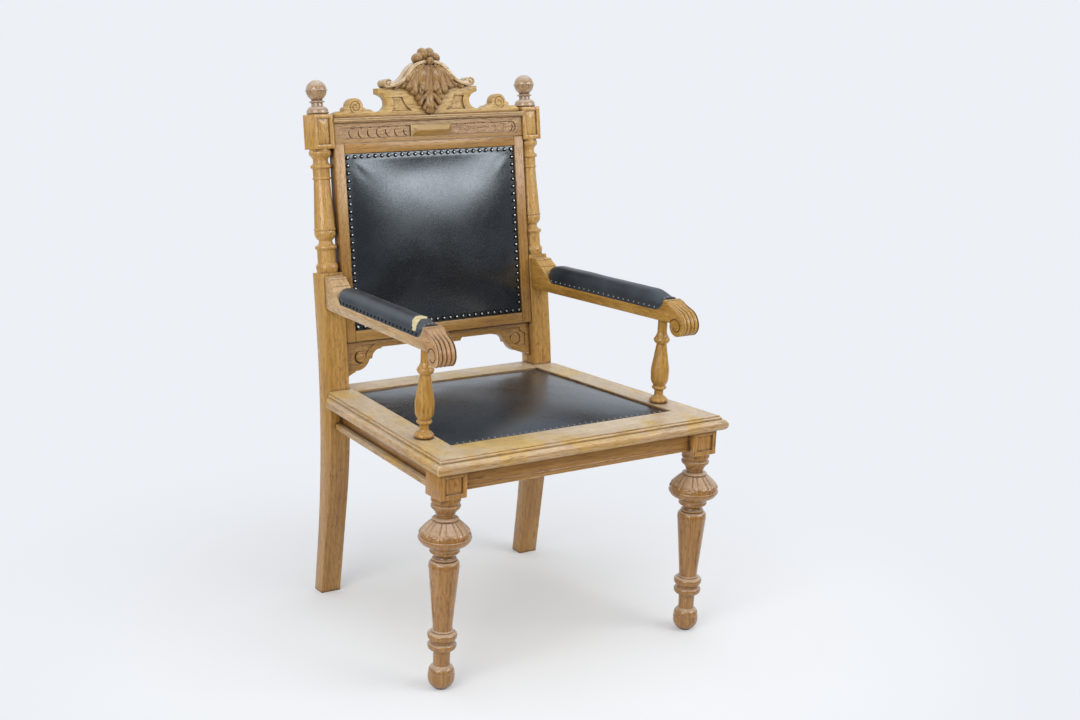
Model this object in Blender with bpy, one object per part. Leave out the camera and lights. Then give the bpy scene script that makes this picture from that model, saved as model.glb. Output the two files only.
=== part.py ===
"""Carved oak armchair with a leather seat, back and arm pads.

Metres, +Z up, the chair faces -Y. While it is built, y = 0 lies on the axis of the
front legs; at the end the whole chair is centred over the origin. Pieces are joined by
mortise and tenon and by turned spigots, with FIT between faces that touch.
"""
import math

import bmesh
import bpy
from mathutils import Matrix, Vector

# Clearance between faces that touch
FIT = 0.0003

# Seat frame: four moulded bars round the leather panel
SEAT_HEIGHT = 0.460
SEAT_FALL = 0.0185
SEAT_HALF_FRONT = 0.3375
SEAT_REAR_LIP = 0.0192
SEAT_OVERHANG = 0.0434
FRAME_THICK = 0.030
FRONT_BAR = 0.0864
SIDE_BAR = 0.0725
BACK_BAR = 0.060
OPENING_DEPTH = 0.4296
PAD_LEDGE = 0.012
PAD_SINK = 0.010
PAD_EDGE_DROP = 0.004
SEAT_CROWN = 0.014
CLOTH_THICK = 0.0015
STRAP_WIDTH = 0.050

# Seat rails
RAIL_THICK = 0.022
FRONT_RAIL_DROP = 0.070
SIDE_RAIL_DROP = 0.0795
FRONT_RAIL_SETBACK = 0.016
SIDE_RAIL_INSET = 0.003
STRIP_PROUD = 0.0109
STRIP_HEIGHT = 0.011
BEAD_PROUD = 0.004
TENON_THICK = 0.010
TENON_LENGTH = 0.022
SIDE_TENON_AT_POST = 0.015
TENON_SHOULDER = 0.008
REAR_RAIL_FROM_FRONT = 0.0125
CORNER_BLOCK_REACH = 0.062
CORNER_BLOCK_HEIGHT = 0.034

# Front legs
LEG_INSET = 0.045
LEG_BLOCK = 0.056
LEG_BLOCK_DROP = 0.080
LEG_SIDES = 20
GADROON_DEPTH = 0.05
PANEL_DEPTH = 0.003
PANEL_MARGIN = 0.011

# Rear posts: raked legs, straight lean above the knee
POST_X = 0.2515
POST_WIDTH = 0.045
POST_DEPTH = 0.047
POST_BEHIND_OPENING = 0.0179
KNEE_DROP = 0.010
LEAN_SLOPE = 0.157
FOOT_KICK = 0.0315
FOOT_DEPTH = 0.031
FRONT_RAKE = 0.125
REAR_RAKE = 0.100
FRONT_BEND = 0.150
REAR_BEND = 0.230
POST_SHOULDER = 0.2430
COLUMN_LENGTH = 0.2506
BLOCK_HEIGHT = 0.0699
COLUMN_SIDES = 14
SPIGOT_RADIUS = 0.006
SPIGOT_LENGTH = 0.016

# Back frame, heights measured up the leaning plane from the knee
BACK_SETBACK = 0.003
BACK_THICK = 0.025
BACK_LOW = 0.0967
BACK_TOP_ABOVE_BLOCK = 0.0080
STILE_WIDTH = 0.0227
BACK_BOTTOM_RAIL = 0.0222
BACK_TOP_RAIL = 0.0203
BACK_CROWN = 0.022
BACK_EDGE = 0.004
BACK_COVER_LAP = 0.010
FRIEZE_HEIGHT = 0.0415
FRIEZE_SETBACK = 0.004
FRIEZE_THICK = 0.024
FRIEZE_TENON = 0.012
BOSS_HALF_LENGTH = 0.0485
BOSS_HEIGHT = 0.0233
BOSS_PROUD = 0.010
CORNICE_HEIGHT = 0.0101
CORNICE_FRONT = -0.005
CORNICE_DEPTH = 0.035

# Crest
CREST_FRONT = 0.006
CREST_THICK = 0.022
HOOD_THICK = 0.007
HOOD_FRONT = -0.005
HOOD_DEPTH = 0.033
HOOD_PEAK = 0.1085
HOOD_SCROLL_X = 0.0995
HOOD_SCROLL_R = 0.0092
CREST_SHOULDER = 0.0575
CREST_EAR = 0.1195
EAR_HEIGHT = 0.0110
LEAF_THICK = 0.016

# Lower back rail
LOWER_RAIL_SETBACK = 0.015
LOWER_RAIL_THICK = 0.020
LOWER_RAIL_EDGE = 0.0788
LOWER_RAIL_DROP = 0.0066
BRACKET_LENGTH = 0.080
BRACKET_TIP = 0.0236

# Arms
ARM_WIDTH = 0.040
ARM_RISE = 0.1746
ARM_FALL = 0.0156
ARM_DEPTH_FRONT = 0.0187
ARM_DEPTH_REAR = 0.0227
ARM_HEEL_RISE = 0.0653
ARM_PAD_FRONT_Y = 0.1114
ARM_HEEL_LENGTH = 0.0402
ARM_PAD_LAP = 0.0237
ARM_PAD_HEIGHT = 0.034
SCROLL_Y = 0.0486
SCROLL_DROP = 0.0041
SCROLL_INNER_R = 0.0185
SCROLL_OUTER_R = 0.0240
ARM_SUPPORT_Y = 0.110
ARM_SUPPORT_INSET = 0.0157
SUPPORT_FOOT = 0.0190
SUPPORT_SIDES = 12
ARM_TENON_HEIGHT = 0.034
ARM_TENON_WIDTH = 0.016

# Finishes: base colour, roughness
OAK = ((0.445, 0.238, 0.080), 0.45)
OAK_DARK = ((0.300, 0.155, 0.052), 0.45)
OAK_WORN = ((0.430, 0.270, 0.140), 0.55)
OAK_CARVED = ((0.380, 0.200, 0.075), 0.42)
LEATHER = ((0.016, 0.018, 0.021), 0.38)
CLOTH = ((0.020, 0.020, 0.022), 0.80)
JUTE = ((0.330, 0.210, 0.100), 0.90)
PINE = ((0.480, 0.310, 0.150), 0.70)

# Values worked out from the driving dimensions
LEAN = math.atan(LEAN_SLOPE)
OPENING_FRONT = FRONT_BAR - SEAT_OVERHANG
OPENING_REAR = OPENING_FRONT + OPENING_DEPTH
KNEE_Y = OPENING_REAR + POST_BEHIND_OPENING
FOOT_FRONT_Y = KNEE_Y + FOOT_KICK
ARM_REAR_Y = KNEE_Y + POST_DEPTH * 0.63
ARM_HEEL_Y = KNEE_Y - ARM_HEEL_LENGTH
ARM_PAD_REAR_Y = ARM_HEEL_Y + ARM_PAD_LAP
KNEE_Z = SEAT_HEIGHT - KNEE_DROP
LEG_X = SEAT_HALF_FRONT - LEG_INSET
LEG_HALF = LEG_BLOCK / 2
LEG_BLOCK_BOTTOM = SEAT_HEIGHT - LEG_BLOCK_DROP
POST_INNER = POST_X - POST_WIDTH / 2
POST_OUTER = POST_X + POST_WIDTH / 2
SEAT_TAPER = (SEAT_HALF_FRONT - POST_OUTER - SEAT_REAR_LIP) / (KNEE_Y + SEAT_OVERHANG)
ARM_TAPER = (LEG_X - ARM_SUPPORT_INSET - POST_X) / (ARM_REAR_Y - ARM_SUPPORT_Y)
ARM_UNDER_FRONT = SEAT_HEIGHT + ARM_RISE
ARM_UNDER_REAR = ARM_UNDER_FRONT - ARM_FALL
ARM_SEAT_FRONT = ARM_UNDER_FRONT + ARM_DEPTH_FRONT
ARM_SEAT_REAR = ARM_UNDER_REAR + ARM_DEPTH_REAR
ARM_HEEL_TOP = ARM_UNDER_REAR + ARM_HEEL_RISE
SCROLL_Z = ARM_UNDER_FRONT - SCROLL_DROP
RAIL_TAPER = (LEG_X - POST_X) / (KNEE_Y + POST_DEPTH / 2)
SIDE_BAR_END = KNEE_Y + 0.004
BLOCK_LOW = POST_SHOULDER + COLUMN_LENGTH
BLOCK_TOP = BLOCK_LOW + BLOCK_HEIGHT
BACK_HALF = POST_INNER - FIT
BACK_HIGH = BLOCK_LOW + BACK_TOP_ABOVE_BLOCK
OPENING_HALF = BACK_HALF - STILE_WIDTH
CORNICE_LOW = BACK_HIGH + FIT + FRIEZE_HEIGHT + FIT
CREST_LOW = CORNICE_LOW + CORNICE_HEIGHT + FIT
SEAT_PLANE = Matrix.Identity(4)
SEAT_PLANE[2][1] = -SEAT_FALL
SEAT_PLANE[2][3] = SEAT_HEIGHT
BACK_PLANE = Matrix.Translation((0, KNEE_Y, KNEE_Z)) @ Matrix.Rotation(-LEAN, 4, 'X')
SIDES = (("left", -1), ("right", 1))


# Outlines and profiles

def arc(start, end, sagitta, turn=44):
    """Points after start on the arc to end; a positive sagitta swells to the left of the chord."""
    a = Vector(start)
    b = Vector(end)
    chord = b - a
    half = chord.length / 2
    along = chord.normalized()
    normal = Vector((-along.y, along.x))
    radius = (half ** 2 + sagitta ** 2) / (2 * abs(sagitta))
    side = math.copysign(1, sagitta)
    centre = (a + b) / 2 + normal * (sagitta - side * radius)
    sweep = 2 * math.atan2(abs(sagitta), half)
    steps = max(2, math.ceil(2 * math.degrees(sweep) / turn))
    points = []
    for i in range(1, steps + 1):
        angle = -sweep + 2 * sweep * i / steps
        spot = centre + normal * (side * radius * math.cos(angle)) + along * (radius * math.sin(angle))
        points.append(tuple(spot))
    return points


def path(stations):
    """A run of points; a station's third value is the sagitta of the arc that leads to it."""
    points = [stations[0][:2]]
    for station in stations[1:]:
        if len(station) == 3:
            points += arc(points[-1], station[:2], station[2])
        else:
            points.append(station)
    return points


def bend(start, corner, end, steps=8):
    """Points after start on the parabola that rounds a corner."""
    points = []
    for i in range(1, steps + 1):
        t = i / steps
        weights = ((1 - t) ** 2, 2 * t * (1 - t), t * t)
        points.append(tuple(sum(w * p[k] for w, p in zip(weights, (start, corner, end))) for k in (0, 1)))
    return points


def offset(points, distance):
    """The points of an open run moved to the left of their direction of travel."""
    moved = []
    for i, point in enumerate(points):
        ahead = Vector(points[min(i + 1, len(points) - 1)])
        behind = Vector(points[max(i - 1, 0)])
        along = (ahead - behind).normalized()
        moved.append((point[0] - along.y * distance, point[1] + along.x * distance))
    return moved


def mirrored(half):
    """A closed outline from its right half, which runs from one end on x = 0 to the other."""
    return half + [(-x, y) for x, y in reversed(half) if x > FIT]


# Solids

def loft(loops):
    """A closed body through loops that have the same number of points."""
    bm = bmesh.new()
    rings = [[bm.verts.new(point) for point in loop] for loop in loops]
    for low, high in zip(rings, rings[1:]):
        for i in range(len(low)):
            j = (i + 1) % len(low)
            bm.faces.new((low[i], low[j], high[j], high[i]))
    bm.faces.new(rings[0])
    bm.faces.new(rings[-1])
    bmesh.ops.remove_doubles(bm, verts=bm.verts, dist=1e-6)
    return bm


def prism(outline, low, high, axis):
    """An outline pushed along one axis; its two values take the other axes in order."""
    loops = []
    for level in (low, high):
        loops.append([tuple(p[:axis]) + (level,) + tuple(p[axis:]) for p in outline])
    return loft(loops)


def block(x, y, z):
    """A box from three pairs of limits."""
    outline = [(x[0], y[0]), (x[1], y[0]), (x[1], y[1]), (x[0], y[1])]
    return prism(outline, z[0], z[1], 2)


def bar(axis, stations):
    """A straight bar along an axis through rectangles: place, limits on the next two axes."""
    loops = []
    for place, first, second in stations:
        corners = [(first[0], second[0]), (first[1], second[0]), (first[1], second[1]), (first[0], second[1])]
        loops.append([c[:axis] + (place,) + c[axis:] for c in corners])
    return loft(loops)


def tenoned(axis, ends, tails, body, tongue):
    """A bar with a tenon at each end; body and tongue are limits on the next two axes."""
    return bar(axis, [(tails[0], *tongue), (ends[0], *tongue), (ends[0], *body),
                      (ends[1], *body), (ends[1], *tongue), (tails[1], *tongue)])


def mortise(axis, end, tail, tongue):
    """Cutter for the mortise of a tenon that runs from its shoulder at end to its tail."""
    low, high = sorted((end, tail))
    limits = [grown(pair) for pair in tongue]
    return bar(axis, [(low - FIT, *limits), (high + FIT, *limits)])


def turned(stations, sides, lobes=None):
    """A body turned about Z. lobes are the low and high limits of the gadroons."""
    loops = []
    for z, radius in path([(s[0], s[1]) + tuple(s[2:]) for s in stations]):
        loop = []
        for i in range(sides):
            angle = 2 * math.pi * (i + 0.5) / sides
            r = radius
            if lobes and lobes[0] < z < lobes[1] and i % 2:
                r = radius * (1 - GADROON_DEPTH)
            loop.append((r * math.cos(angle), r * math.sin(angle), z))
        loops.append(loop)
    return loft(loops)


def ellipsoid(centre, radii, angle=0.0, sides=8, rings=5):
    """A swelling lobe in the back plane, turned by angle about the depth axis."""
    bm = bmesh.new()
    bmesh.ops.create_uvsphere(bm, u_segments=sides, v_segments=rings, radius=1.0)
    shape = Matrix.Diagonal((radii[0], radii[1], radii[2], 1))
    bm.transform(Matrix.Translation(centre) @ Matrix.Rotation(angle, 4, 'Y') @ shape)
    return bm


# Scene objects

def material(name, finish):
    colour, roughness = finish
    made = bpy.data.materials.new(name)
    made.use_nodes = True
    shader = made.node_tree.nodes["Principled BSDF"]
    shader.inputs["Base Color"].default_value = (*colour, 1)
    shader.inputs["Roughness"].default_value = roughness
    shader.inputs["Metallic"].default_value = 0
    return made


def stand(name, parent=None, place=Matrix.Identity(4)):
    """An empty that carries pieces."""
    empty = bpy.data.objects.new(name, None)
    bpy.context.collection.objects.link(empty)
    empty.parent = parent
    empty.matrix_basis = place
    return empty


def solid(name, bm, finish, parent, place=Matrix.Identity(4)):
    """One piece of the chair, or a cutter where finish is None."""
    bm.normal_update()
    bmesh.ops.recalc_face_normals(bm, faces=bm.faces)
    mesh = bpy.data.meshes.new(name)
    bm.to_mesh(mesh)
    bm.free()
    piece = bpy.data.objects.new(name, mesh)
    bpy.context.collection.objects.link(piece)
    piece.parent = parent
    piece.matrix_basis = place
    if finish:
        mesh.materials.append(material(name, finish))
    return piece


def combine(piece, bm, operation, parent=None, place=Matrix.Identity(4)):
    """Join a body to a piece or cut it away, and keep the result as the piece's mesh."""
    tool = solid("tool", bm, None, parent or piece.parent, place)
    change = piece.modifiers.new("change", 'BOOLEAN')
    change.operation = operation
    change.solver = 'EXACT'
    change.object = tool
    bpy.context.view_layer.update()
    graph = bpy.context.evaluated_depsgraph_get()
    mesh = bpy.data.meshes.new_from_object(piece.evaluated_get(graph))
    piece.modifiers.clear()
    old = piece.data
    piece.data = mesh
    bpy.data.meshes.remove(old)
    bpy.data.objects.remove(tool, do_unlink=True)


def join(piece, bm, parent=None, place=Matrix.Identity(4)):
    combine(piece, bm, 'UNION', parent, place)


def cut(piece, bm, parent=None, place=Matrix.Identity(4)):
    combine(piece, bm, 'DIFFERENCE', parent, place)


def moved(bm, matrix):
    """Bake a matrix into a body: used for the fall of the seat and the spread of arms and rails."""
    bm.transform(matrix)
    return bm


def grown(limits, by=FIT):
    return (limits[0] - by, limits[1] + by)


def sunk_panel(low, high, face_y):
    """Cutter for a sunk panel with a hipped field, on a face that looks along -Y."""
    x0, z0 = low
    x1, z1 = high
    back = face_y + PANEL_DEPTH
    ridge = face_y + PANEL_DEPTH * 0.25
    inset = min(x1 - x0, z1 - z0) / 2 - FIT
    loops = []
    for place, grow in ((face_y - PANEL_DEPTH, 0), (back, 0), (ridge, -inset)):
        loops.append([(x0 - grow, place, z0 - grow), (x1 + grow, place, z0 - grow),
                      (x1 + grow, place, z1 + grow), (x0 - grow, place, z1 + grow)])
    return loft(loops)


# Seat geometry

def frame_half(y, inset):
    """Half width of the seat frame at a depth, measured in from the nosing."""
    return SEAT_HALF_FRONT - SEAT_TAPER * (y + SEAT_OVERHANG) - inset * math.hypot(1, SEAT_TAPER)


def opening_half(y):
    return frame_half(y, SIDE_BAR)


def rail_plane(side):
    """Side rails lean inward in plan and fall with the seat."""
    spread = Matrix.Identity(4)
    spread[0][0] = side
    spread[0][1] = -side * RAIL_TAPER
    spread[0][3] = side * LEG_X
    return SEAT_PLANE @ spread


def arm_plane(side):
    """Arms lean inward in plan towards the posts."""
    spread = Matrix.Identity(4)
    spread[0][0] = side
    spread[0][1] = -side * ARM_TAPER
    spread[0][3] = side * (POST_X + ARM_TAPER * ARM_REAR_Y)
    return spread


def post_front(z):
    """Depth of the straight front of a post above the knee."""
    return KNEE_Y + LEAN_SLOPE * (z - KNEE_Z)


def post_outline():
    """Side view of a rear post from the floor to the shoulder: depth and height."""
    front_line = KNEE_Y - LEAN_SLOPE * KNEE_Z
    rear_line = front_line + POST_DEPTH / math.cos(LEAN)
    runs = []
    for foot, rake, line, reach in ((FOOT_FRONT_Y, FRONT_RAKE, front_line, FRONT_BEND),
                                    (FOOT_FRONT_Y + FOOT_DEPTH, REAR_RAKE, rear_line, REAR_BEND)):
        corner_z = (foot - line) / (rake + LEAN_SLOPE)
        start = (foot - rake * (corner_z - reach), corner_z - reach)
        corner = (foot - rake * corner_z, corner_z)
        end = (line + LEAN_SLOPE * (corner_z + reach), corner_z + reach)
        runs.append([(foot, 0.0), start] + bend(start, corner, end))
    shoulder = [tuple((BACK_PLANE @ Vector((0, d, POST_SHOULDER)))[1:]) for d in (0, POST_DEPTH)]
    return runs[0] + shoulder + runs[1][::-1]


def front_at_rails():
    """Foremost depth of a post beside the seat rails."""
    low = SEAT_HEIGHT - SIDE_RAIL_DROP - SEAT_FALL * KNEE_Y
    high = SEAT_HEIGHT - SEAT_FALL * KNEE_Y
    run = [p for p in post_outline() if p[0] < KNEE_Y + POST_DEPTH / 3]
    return min(y for y, z in run if low - FRONT_BEND / 4 < z < high)


# Turned profiles: height, radius, sagitta of the arc that leads there

def leg_profile():
    """Front leg: the foot from the floor, the bulb down from the block; the shaft takes up the height."""
    foot = [(0, 0.0120), (0.0255, 0.0253, 0.0050), (0.0460, 0.0185, 0.0030), (0.0480, 0.0163),
            (0.0740, 0.0163), (0.0790, 0.0232), (0.0870, 0.0274), (0.0930, 0.0240), (0.0985, 0.0240),
            (0.1065, 0.0278), (0.1150, 0.0225), (0.1180, 0.0184), (0.130, 0.0189)]
    head = [(-0.1360, 0.0287), (-0.1255, 0.0256, 0.0014), (-0.1240, 0.0214), (-0.1220, 0.0224),
            (-0.1190, 0.0190), (-0.1135, 0.0180), (-0.1095, 0.0240), (-0.1080, 0.0276), (-0.0995, 0.0296),
            (-0.0918, 0.0409), (-0.0850, 0.0480), (-0.0790, 0.0501), (-0.0770, 0.0488),
            (-0.0608, 0.0409, 0.0020), (-0.0460, 0.0244, 0.0005), (-0.0425, 0.0250), (-0.0415, 0.0225),
            (-0.0400, 0.0176), (-0.0340, 0.0174), (-0.0310, 0.0184), (-0.0230, 0.0242), (-0.0190, 0.0278),
            (-0.0140, 0.0256), (-0.0080, 0.0276), (0.004, 0.0276)]
    return foot + [(LEG_BLOCK_BOTTOM + s[0],) + s[1:] for s in head]


GADROONS = (LEG_BLOCK_BOTTOM - 0.0765, LEG_BLOCK_BOTTOM - 0.0470)


def column_profile():
    """Post column from the shoulder; the long shaft takes up the length."""
    top = COLUMN_LENGTH
    base = [(-0.004, 0.0215), (0.006, 0.0220), (0.0190, 0.0200, 0.0018), (0.0225, 0.0188), (0.0465, 0.0188),
            (0.0475, 0.0208), (0.0550, 0.0215, 0.0015), (0.0630, 0.0138, -0.0020), (0.0660, 0.0140),
            (0.0860, 0.0212, 0.0035), (0.0865, 0.0226), (0.0895, 0.0226), (0.0902, 0.0214)]
    head = [(-0.0620, 0.0165), (-0.0610, 0.0182), (-0.0575, 0.0182, 0.0008), (-0.0560, 0.0170),
            (-0.0400, 0.0172), (-0.0390, 0.0195), (-0.0315, 0.0195, 0.0020), (-0.0300, 0.0172),
            (-0.0150, 0.0195, -0.0030), (-0.0140, 0.0207), (-0.0025, 0.0213, 0.0020), (0.004, 0.0213)]
    return base + [(top + s[0],) + s[1:] for s in head]


def finial_profile():
    return [(-SPIGOT_LENGTH, SPIGOT_RADIUS), (FIT, SPIGOT_RADIUS), (FIT, 0.0210), (0.0050, 0.0222, 0.0012),
            (0.0165, 0.0122, 0.0030), (0.0190, 0.0117), (0.0225, 0.0117), (0.0235, 0.0150),
            (0.0265, 0.0150, 0.0007),
            (0.0285, 0.0110), (0.0305, 0.0125), (0.0468, 0.0212, 0.0021), (0.0472, 0.0226), (0.0492, 0.0226),
            (0.0496, 0.0212), (0.0690, 0.0035, 0.0046)]


def support_profile(height):
    """Arm support from the seat; its neck takes up the height."""
    base = [(-SPIGOT_LENGTH, SPIGOT_RADIUS), (FIT, SPIGOT_RADIUS), (FIT, SUPPORT_FOOT),
            (0.0095, 0.0185, 0.0028),
            (0.0115, 0.0150), (0.0190, 0.0092, -0.0020), (0.0255, 0.0092), (0.0290, 0.0138),
            (0.0340, 0.0138, 0.0012), (0.0362, 0.0122), (0.0550, 0.0182, 0.0020), (0.0800, 0.0170, 0.0012)]
    head = [(-0.0520, 0.0102), (-0.0500, 0.0125), (-0.0360, 0.0125, 0.0036), (-0.0330, 0.0115),
            (-0.0250, 0.0098, -0.0006), (-FIT, 0.0096), (-FIT, SPIGOT_RADIUS),
            (SPIGOT_LENGTH - FIT, SPIGOT_RADIUS)]
    return base + [(height + s[0],) + s[1:] for s in head]


# Legs and posts

def make_front_legs(chair):
    legs = {}
    top = -FRAME_THICK - FIT
    for name, side in SIDES:
        place = Matrix.Translation((side * LEG_X, 0, 0))
        leg = solid("front_leg_" + name, turned(leg_profile(), LEG_SIDES, GADROONS), OAK_DARK, chair, place)
        corners = [(-LEG_HALF, -LEG_HALF), (LEG_HALF, -LEG_HALF), (LEG_HALF, LEG_HALF), (-LEG_HALF, LEG_HALF)]
        low = [(x, y, LEG_BLOCK_BOTTOM) for x, y in corners]
        high = [tuple(SEAT_PLANE @ Vector((x, y, top))) for x, y in corners]
        join(leg, loft([low, high]), chair, place)
        panel_low = (-LEG_HALF + PANEL_MARGIN, LEG_BLOCK_BOTTOM + PANEL_MARGIN)
        panel_high = (LEG_HALF - PANEL_MARGIN, SEAT_HEIGHT - FRAME_THICK - PANEL_MARGIN)
        cut(leg, sunk_panel(panel_low, panel_high, -LEG_HALF), chair, place)
        legs[side] = leg
    return legs


def make_rear_posts(chair, back):
    posts = {}
    for name, side in SIDES:
        x = side * POST_X
        blank = prism(post_outline(), -POST_WIDTH / 2, POST_WIDTH / 2, 0)
        post = solid("rear_post_" + name, blank, OAK, chair, Matrix.Translation((x, 0, 0)))
        axis = Matrix.Translation((x, POST_DEPTH / 2, POST_SHOULDER))
        join(post, turned(column_profile(), COLUMN_SIDES), back, axis)
        half = POST_WIDTH / 2
        head = block((x - half, x + half), (0, POST_DEPTH), (BLOCK_LOW, BLOCK_TOP))
        join(post, head, back)
        low = (x - half + PANEL_MARGIN, BLOCK_LOW + PANEL_MARGIN)
        high = (x + half - PANEL_MARGIN, BLOCK_TOP - PANEL_MARGIN)
        cut(post, sunk_panel(low, high, 0), back)
        socket = [(-SPIGOT_LENGTH - FIT, SPIGOT_RADIUS + FIT), (FIT, SPIGOT_RADIUS + FIT)]
        crown = Matrix.Translation((x, POST_DEPTH / 2, BLOCK_TOP))
        cut(post, turned(socket, COLUMN_SIDES), back, crown)
        solid("finial_" + name, turned(finial_profile(), COLUMN_SIDES), OAK, back, crown)
        posts[side] = post
    return posts


# Seat rails

def make_rails(chair, legs, posts):
    top = -FRAME_THICK - FIT
    make_front_rail(chair, legs, top)
    low = -SIDE_RAIL_DROP
    for name, side in SIDES:
        plane = rail_plane(side)
        across = (-SIDE_RAIL_INSET - RAIL_THICK, -SIDE_RAIL_INSET)
        middle = sum(across) / 2
        tongue = (middle - TENON_THICK / 2, middle + TENON_THICK / 2)
        rise = (low + TENON_SHOULDER, top - TENON_SHOULDER)
        start = LEG_HALF + FIT
        end = front_at_rails() - FIT
        tail = end + SIDE_TENON_AT_POST
        lead = start - TENON_LENGTH
        rail = tenoned(1, (start, end), (lead, tail), (across, (low, top)), (tongue, rise))
        solid("side_rail_" + name, moved(rail, plane), OAK_DARK, chair)
        strip = block((-SIDE_RAIL_INSET + FIT, STRIP_PROUD), (start, end), (low, low + STRIP_HEIGHT))
        solid("side_rail_strip_" + name, moved(strip, plane), OAK_WORN, chair)
        cut(legs[side], moved(mortise(1, start, lead, (tongue, rise)), plane), chair)
        cut(posts[side], moved(mortise(1, end, tail, (tongue, rise)), plane), chair)
    make_rear_rail(chair, posts, low, top)


def make_front_rail(chair, legs, top):
    face = -LEG_HALF + FRONT_RAIL_SETBACK
    low = -FRONT_RAIL_DROP
    across = (face, face + RAIL_THICK)
    middle = sum(across) / 2
    tongue = (middle - TENON_THICK / 2, middle + TENON_THICK / 2)
    rise = (low + TENON_SHOULDER, top - TENON_SHOULDER)
    end = LEG_X - LEG_HALF - FIT
    tail = end + TENON_LENGTH
    rail = tenoned(0, (-end, end), (-tail, tail), (across, (low, top)), (tongue, rise))
    piece = solid("front_rail", moved(rail, SEAT_PLANE), OAK_DARK, chair)
    bead = path([(face + FIT, low), (face - BEAD_PROUD, low), (face - BEAD_PROUD, low + STRIP_HEIGHT * 0.8),
                 (face + FIT, low + STRIP_HEIGHT, 0.0008)])
    join(piece, moved(prism(bead, -end, end, 0), SEAT_PLANE), chair)
    for side in (-1, 1):
        cut(legs[side], moved(mortise(0, side * end, side * tail, (tongue, rise)), SEAT_PLANE), chair)


def make_rear_rail(chair, posts, low, top):
    front = KNEE_Y + REAR_RAIL_FROM_FRONT
    across = (front, front + RAIL_THICK)
    middle = sum(across) / 2
    tongue = (middle - TENON_THICK / 2, middle + TENON_THICK / 2)
    rise = (low + TENON_SHOULDER, top - TENON_SHOULDER)
    end = POST_INNER - FIT
    tail = end + TENON_LENGTH
    rail = tenoned(0, (-end, end), (-tail, tail), (across, (low, top)), (tongue, rise))
    solid("rear_rail", moved(rail, SEAT_PLANE), OAK_DARK, chair)
    for side in (-1, 1):
        cut(posts[side], moved(mortise(0, side * end, side * tail, (tongue, rise)), SEAT_PLANE), chair)


def make_corner_blocks(chair):
    top = -FRAME_THICK - FIT
    low = top - CORNER_BLOCK_HEIGHT
    rail_inner = LEG_X - SIDE_RAIL_INSET - RAIL_THICK - FIT
    front_face = -LEG_HALF + FRONT_RAIL_SETBACK + RAIL_THICK + FIT
    rear_face = KNEE_Y + REAR_RAIL_FROM_FRONT - FIT
    leg_inner = min(LEG_X - LEG_HALF - FIT, rail_inner - RAIL_TAPER * LEG_HALF)
    post_inner = min(POST_INNER - FIT, rail_inner - RAIL_TAPER * rear_face)
    front_end = front_face + CORNER_BLOCK_REACH
    rear_end = rear_face - CORNER_BLOCK_REACH
    outlines = {
        "front": [(leg_inner, front_face), (leg_inner - CORNER_BLOCK_REACH, front_face),
                  (rail_inner - RAIL_TAPER * front_end, front_end), (leg_inner, LEG_HALF + FIT)],
        "rear": [(post_inner, rear_face), (post_inner - CORNER_BLOCK_REACH, rear_face),
                 (rail_inner - RAIL_TAPER * rear_end, rear_end)],
    }
    for place, outline in outlines.items():
        for name, side in SIDES:
            body = prism([(side * x, y) for x, y in outline], low, top, 2)
            solid("corner_block_%s_%s" % (place, name), moved(body, SEAT_PLANE), PINE, chair)


# Seat frame and upholstery

def frame_section(width):
    """Section of a moulded bar: distance in from the nosing, height from the seat top."""
    inner = width + PAD_LEDGE
    return path([(inner, -FRAME_THICK), (inner, -PAD_SINK), (width, -PAD_SINK), (width, 0), (0.0140, 0),
                 (0.0140, -0.0030), (0.0105, -0.0060, -0.0009), (0.0105, -0.0085), (0.0040, -0.0100),
                 (0.0085, -FRAME_THICK, -0.0064)])


def moulded_bar(point, along, inward, cuts, width):
    """Sweep the section along an outer edge between two cuts, each a point and a direction."""
    loops = []
    for foot, way in cuts:
        loop = []
        for inset, z in frame_section(width):
            base = Vector(point) + Vector(inward) * inset
            gap = base - Vector(foot)
            reach = (gap.y * way[0] - gap.x * way[1]) / (along[0] * way[1] - along[1] * way[0])
            spot = base + Vector(along) * reach
            loop.append((spot.x, spot.y, z))
        loops.append(loop)
    return loft(loops)


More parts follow.
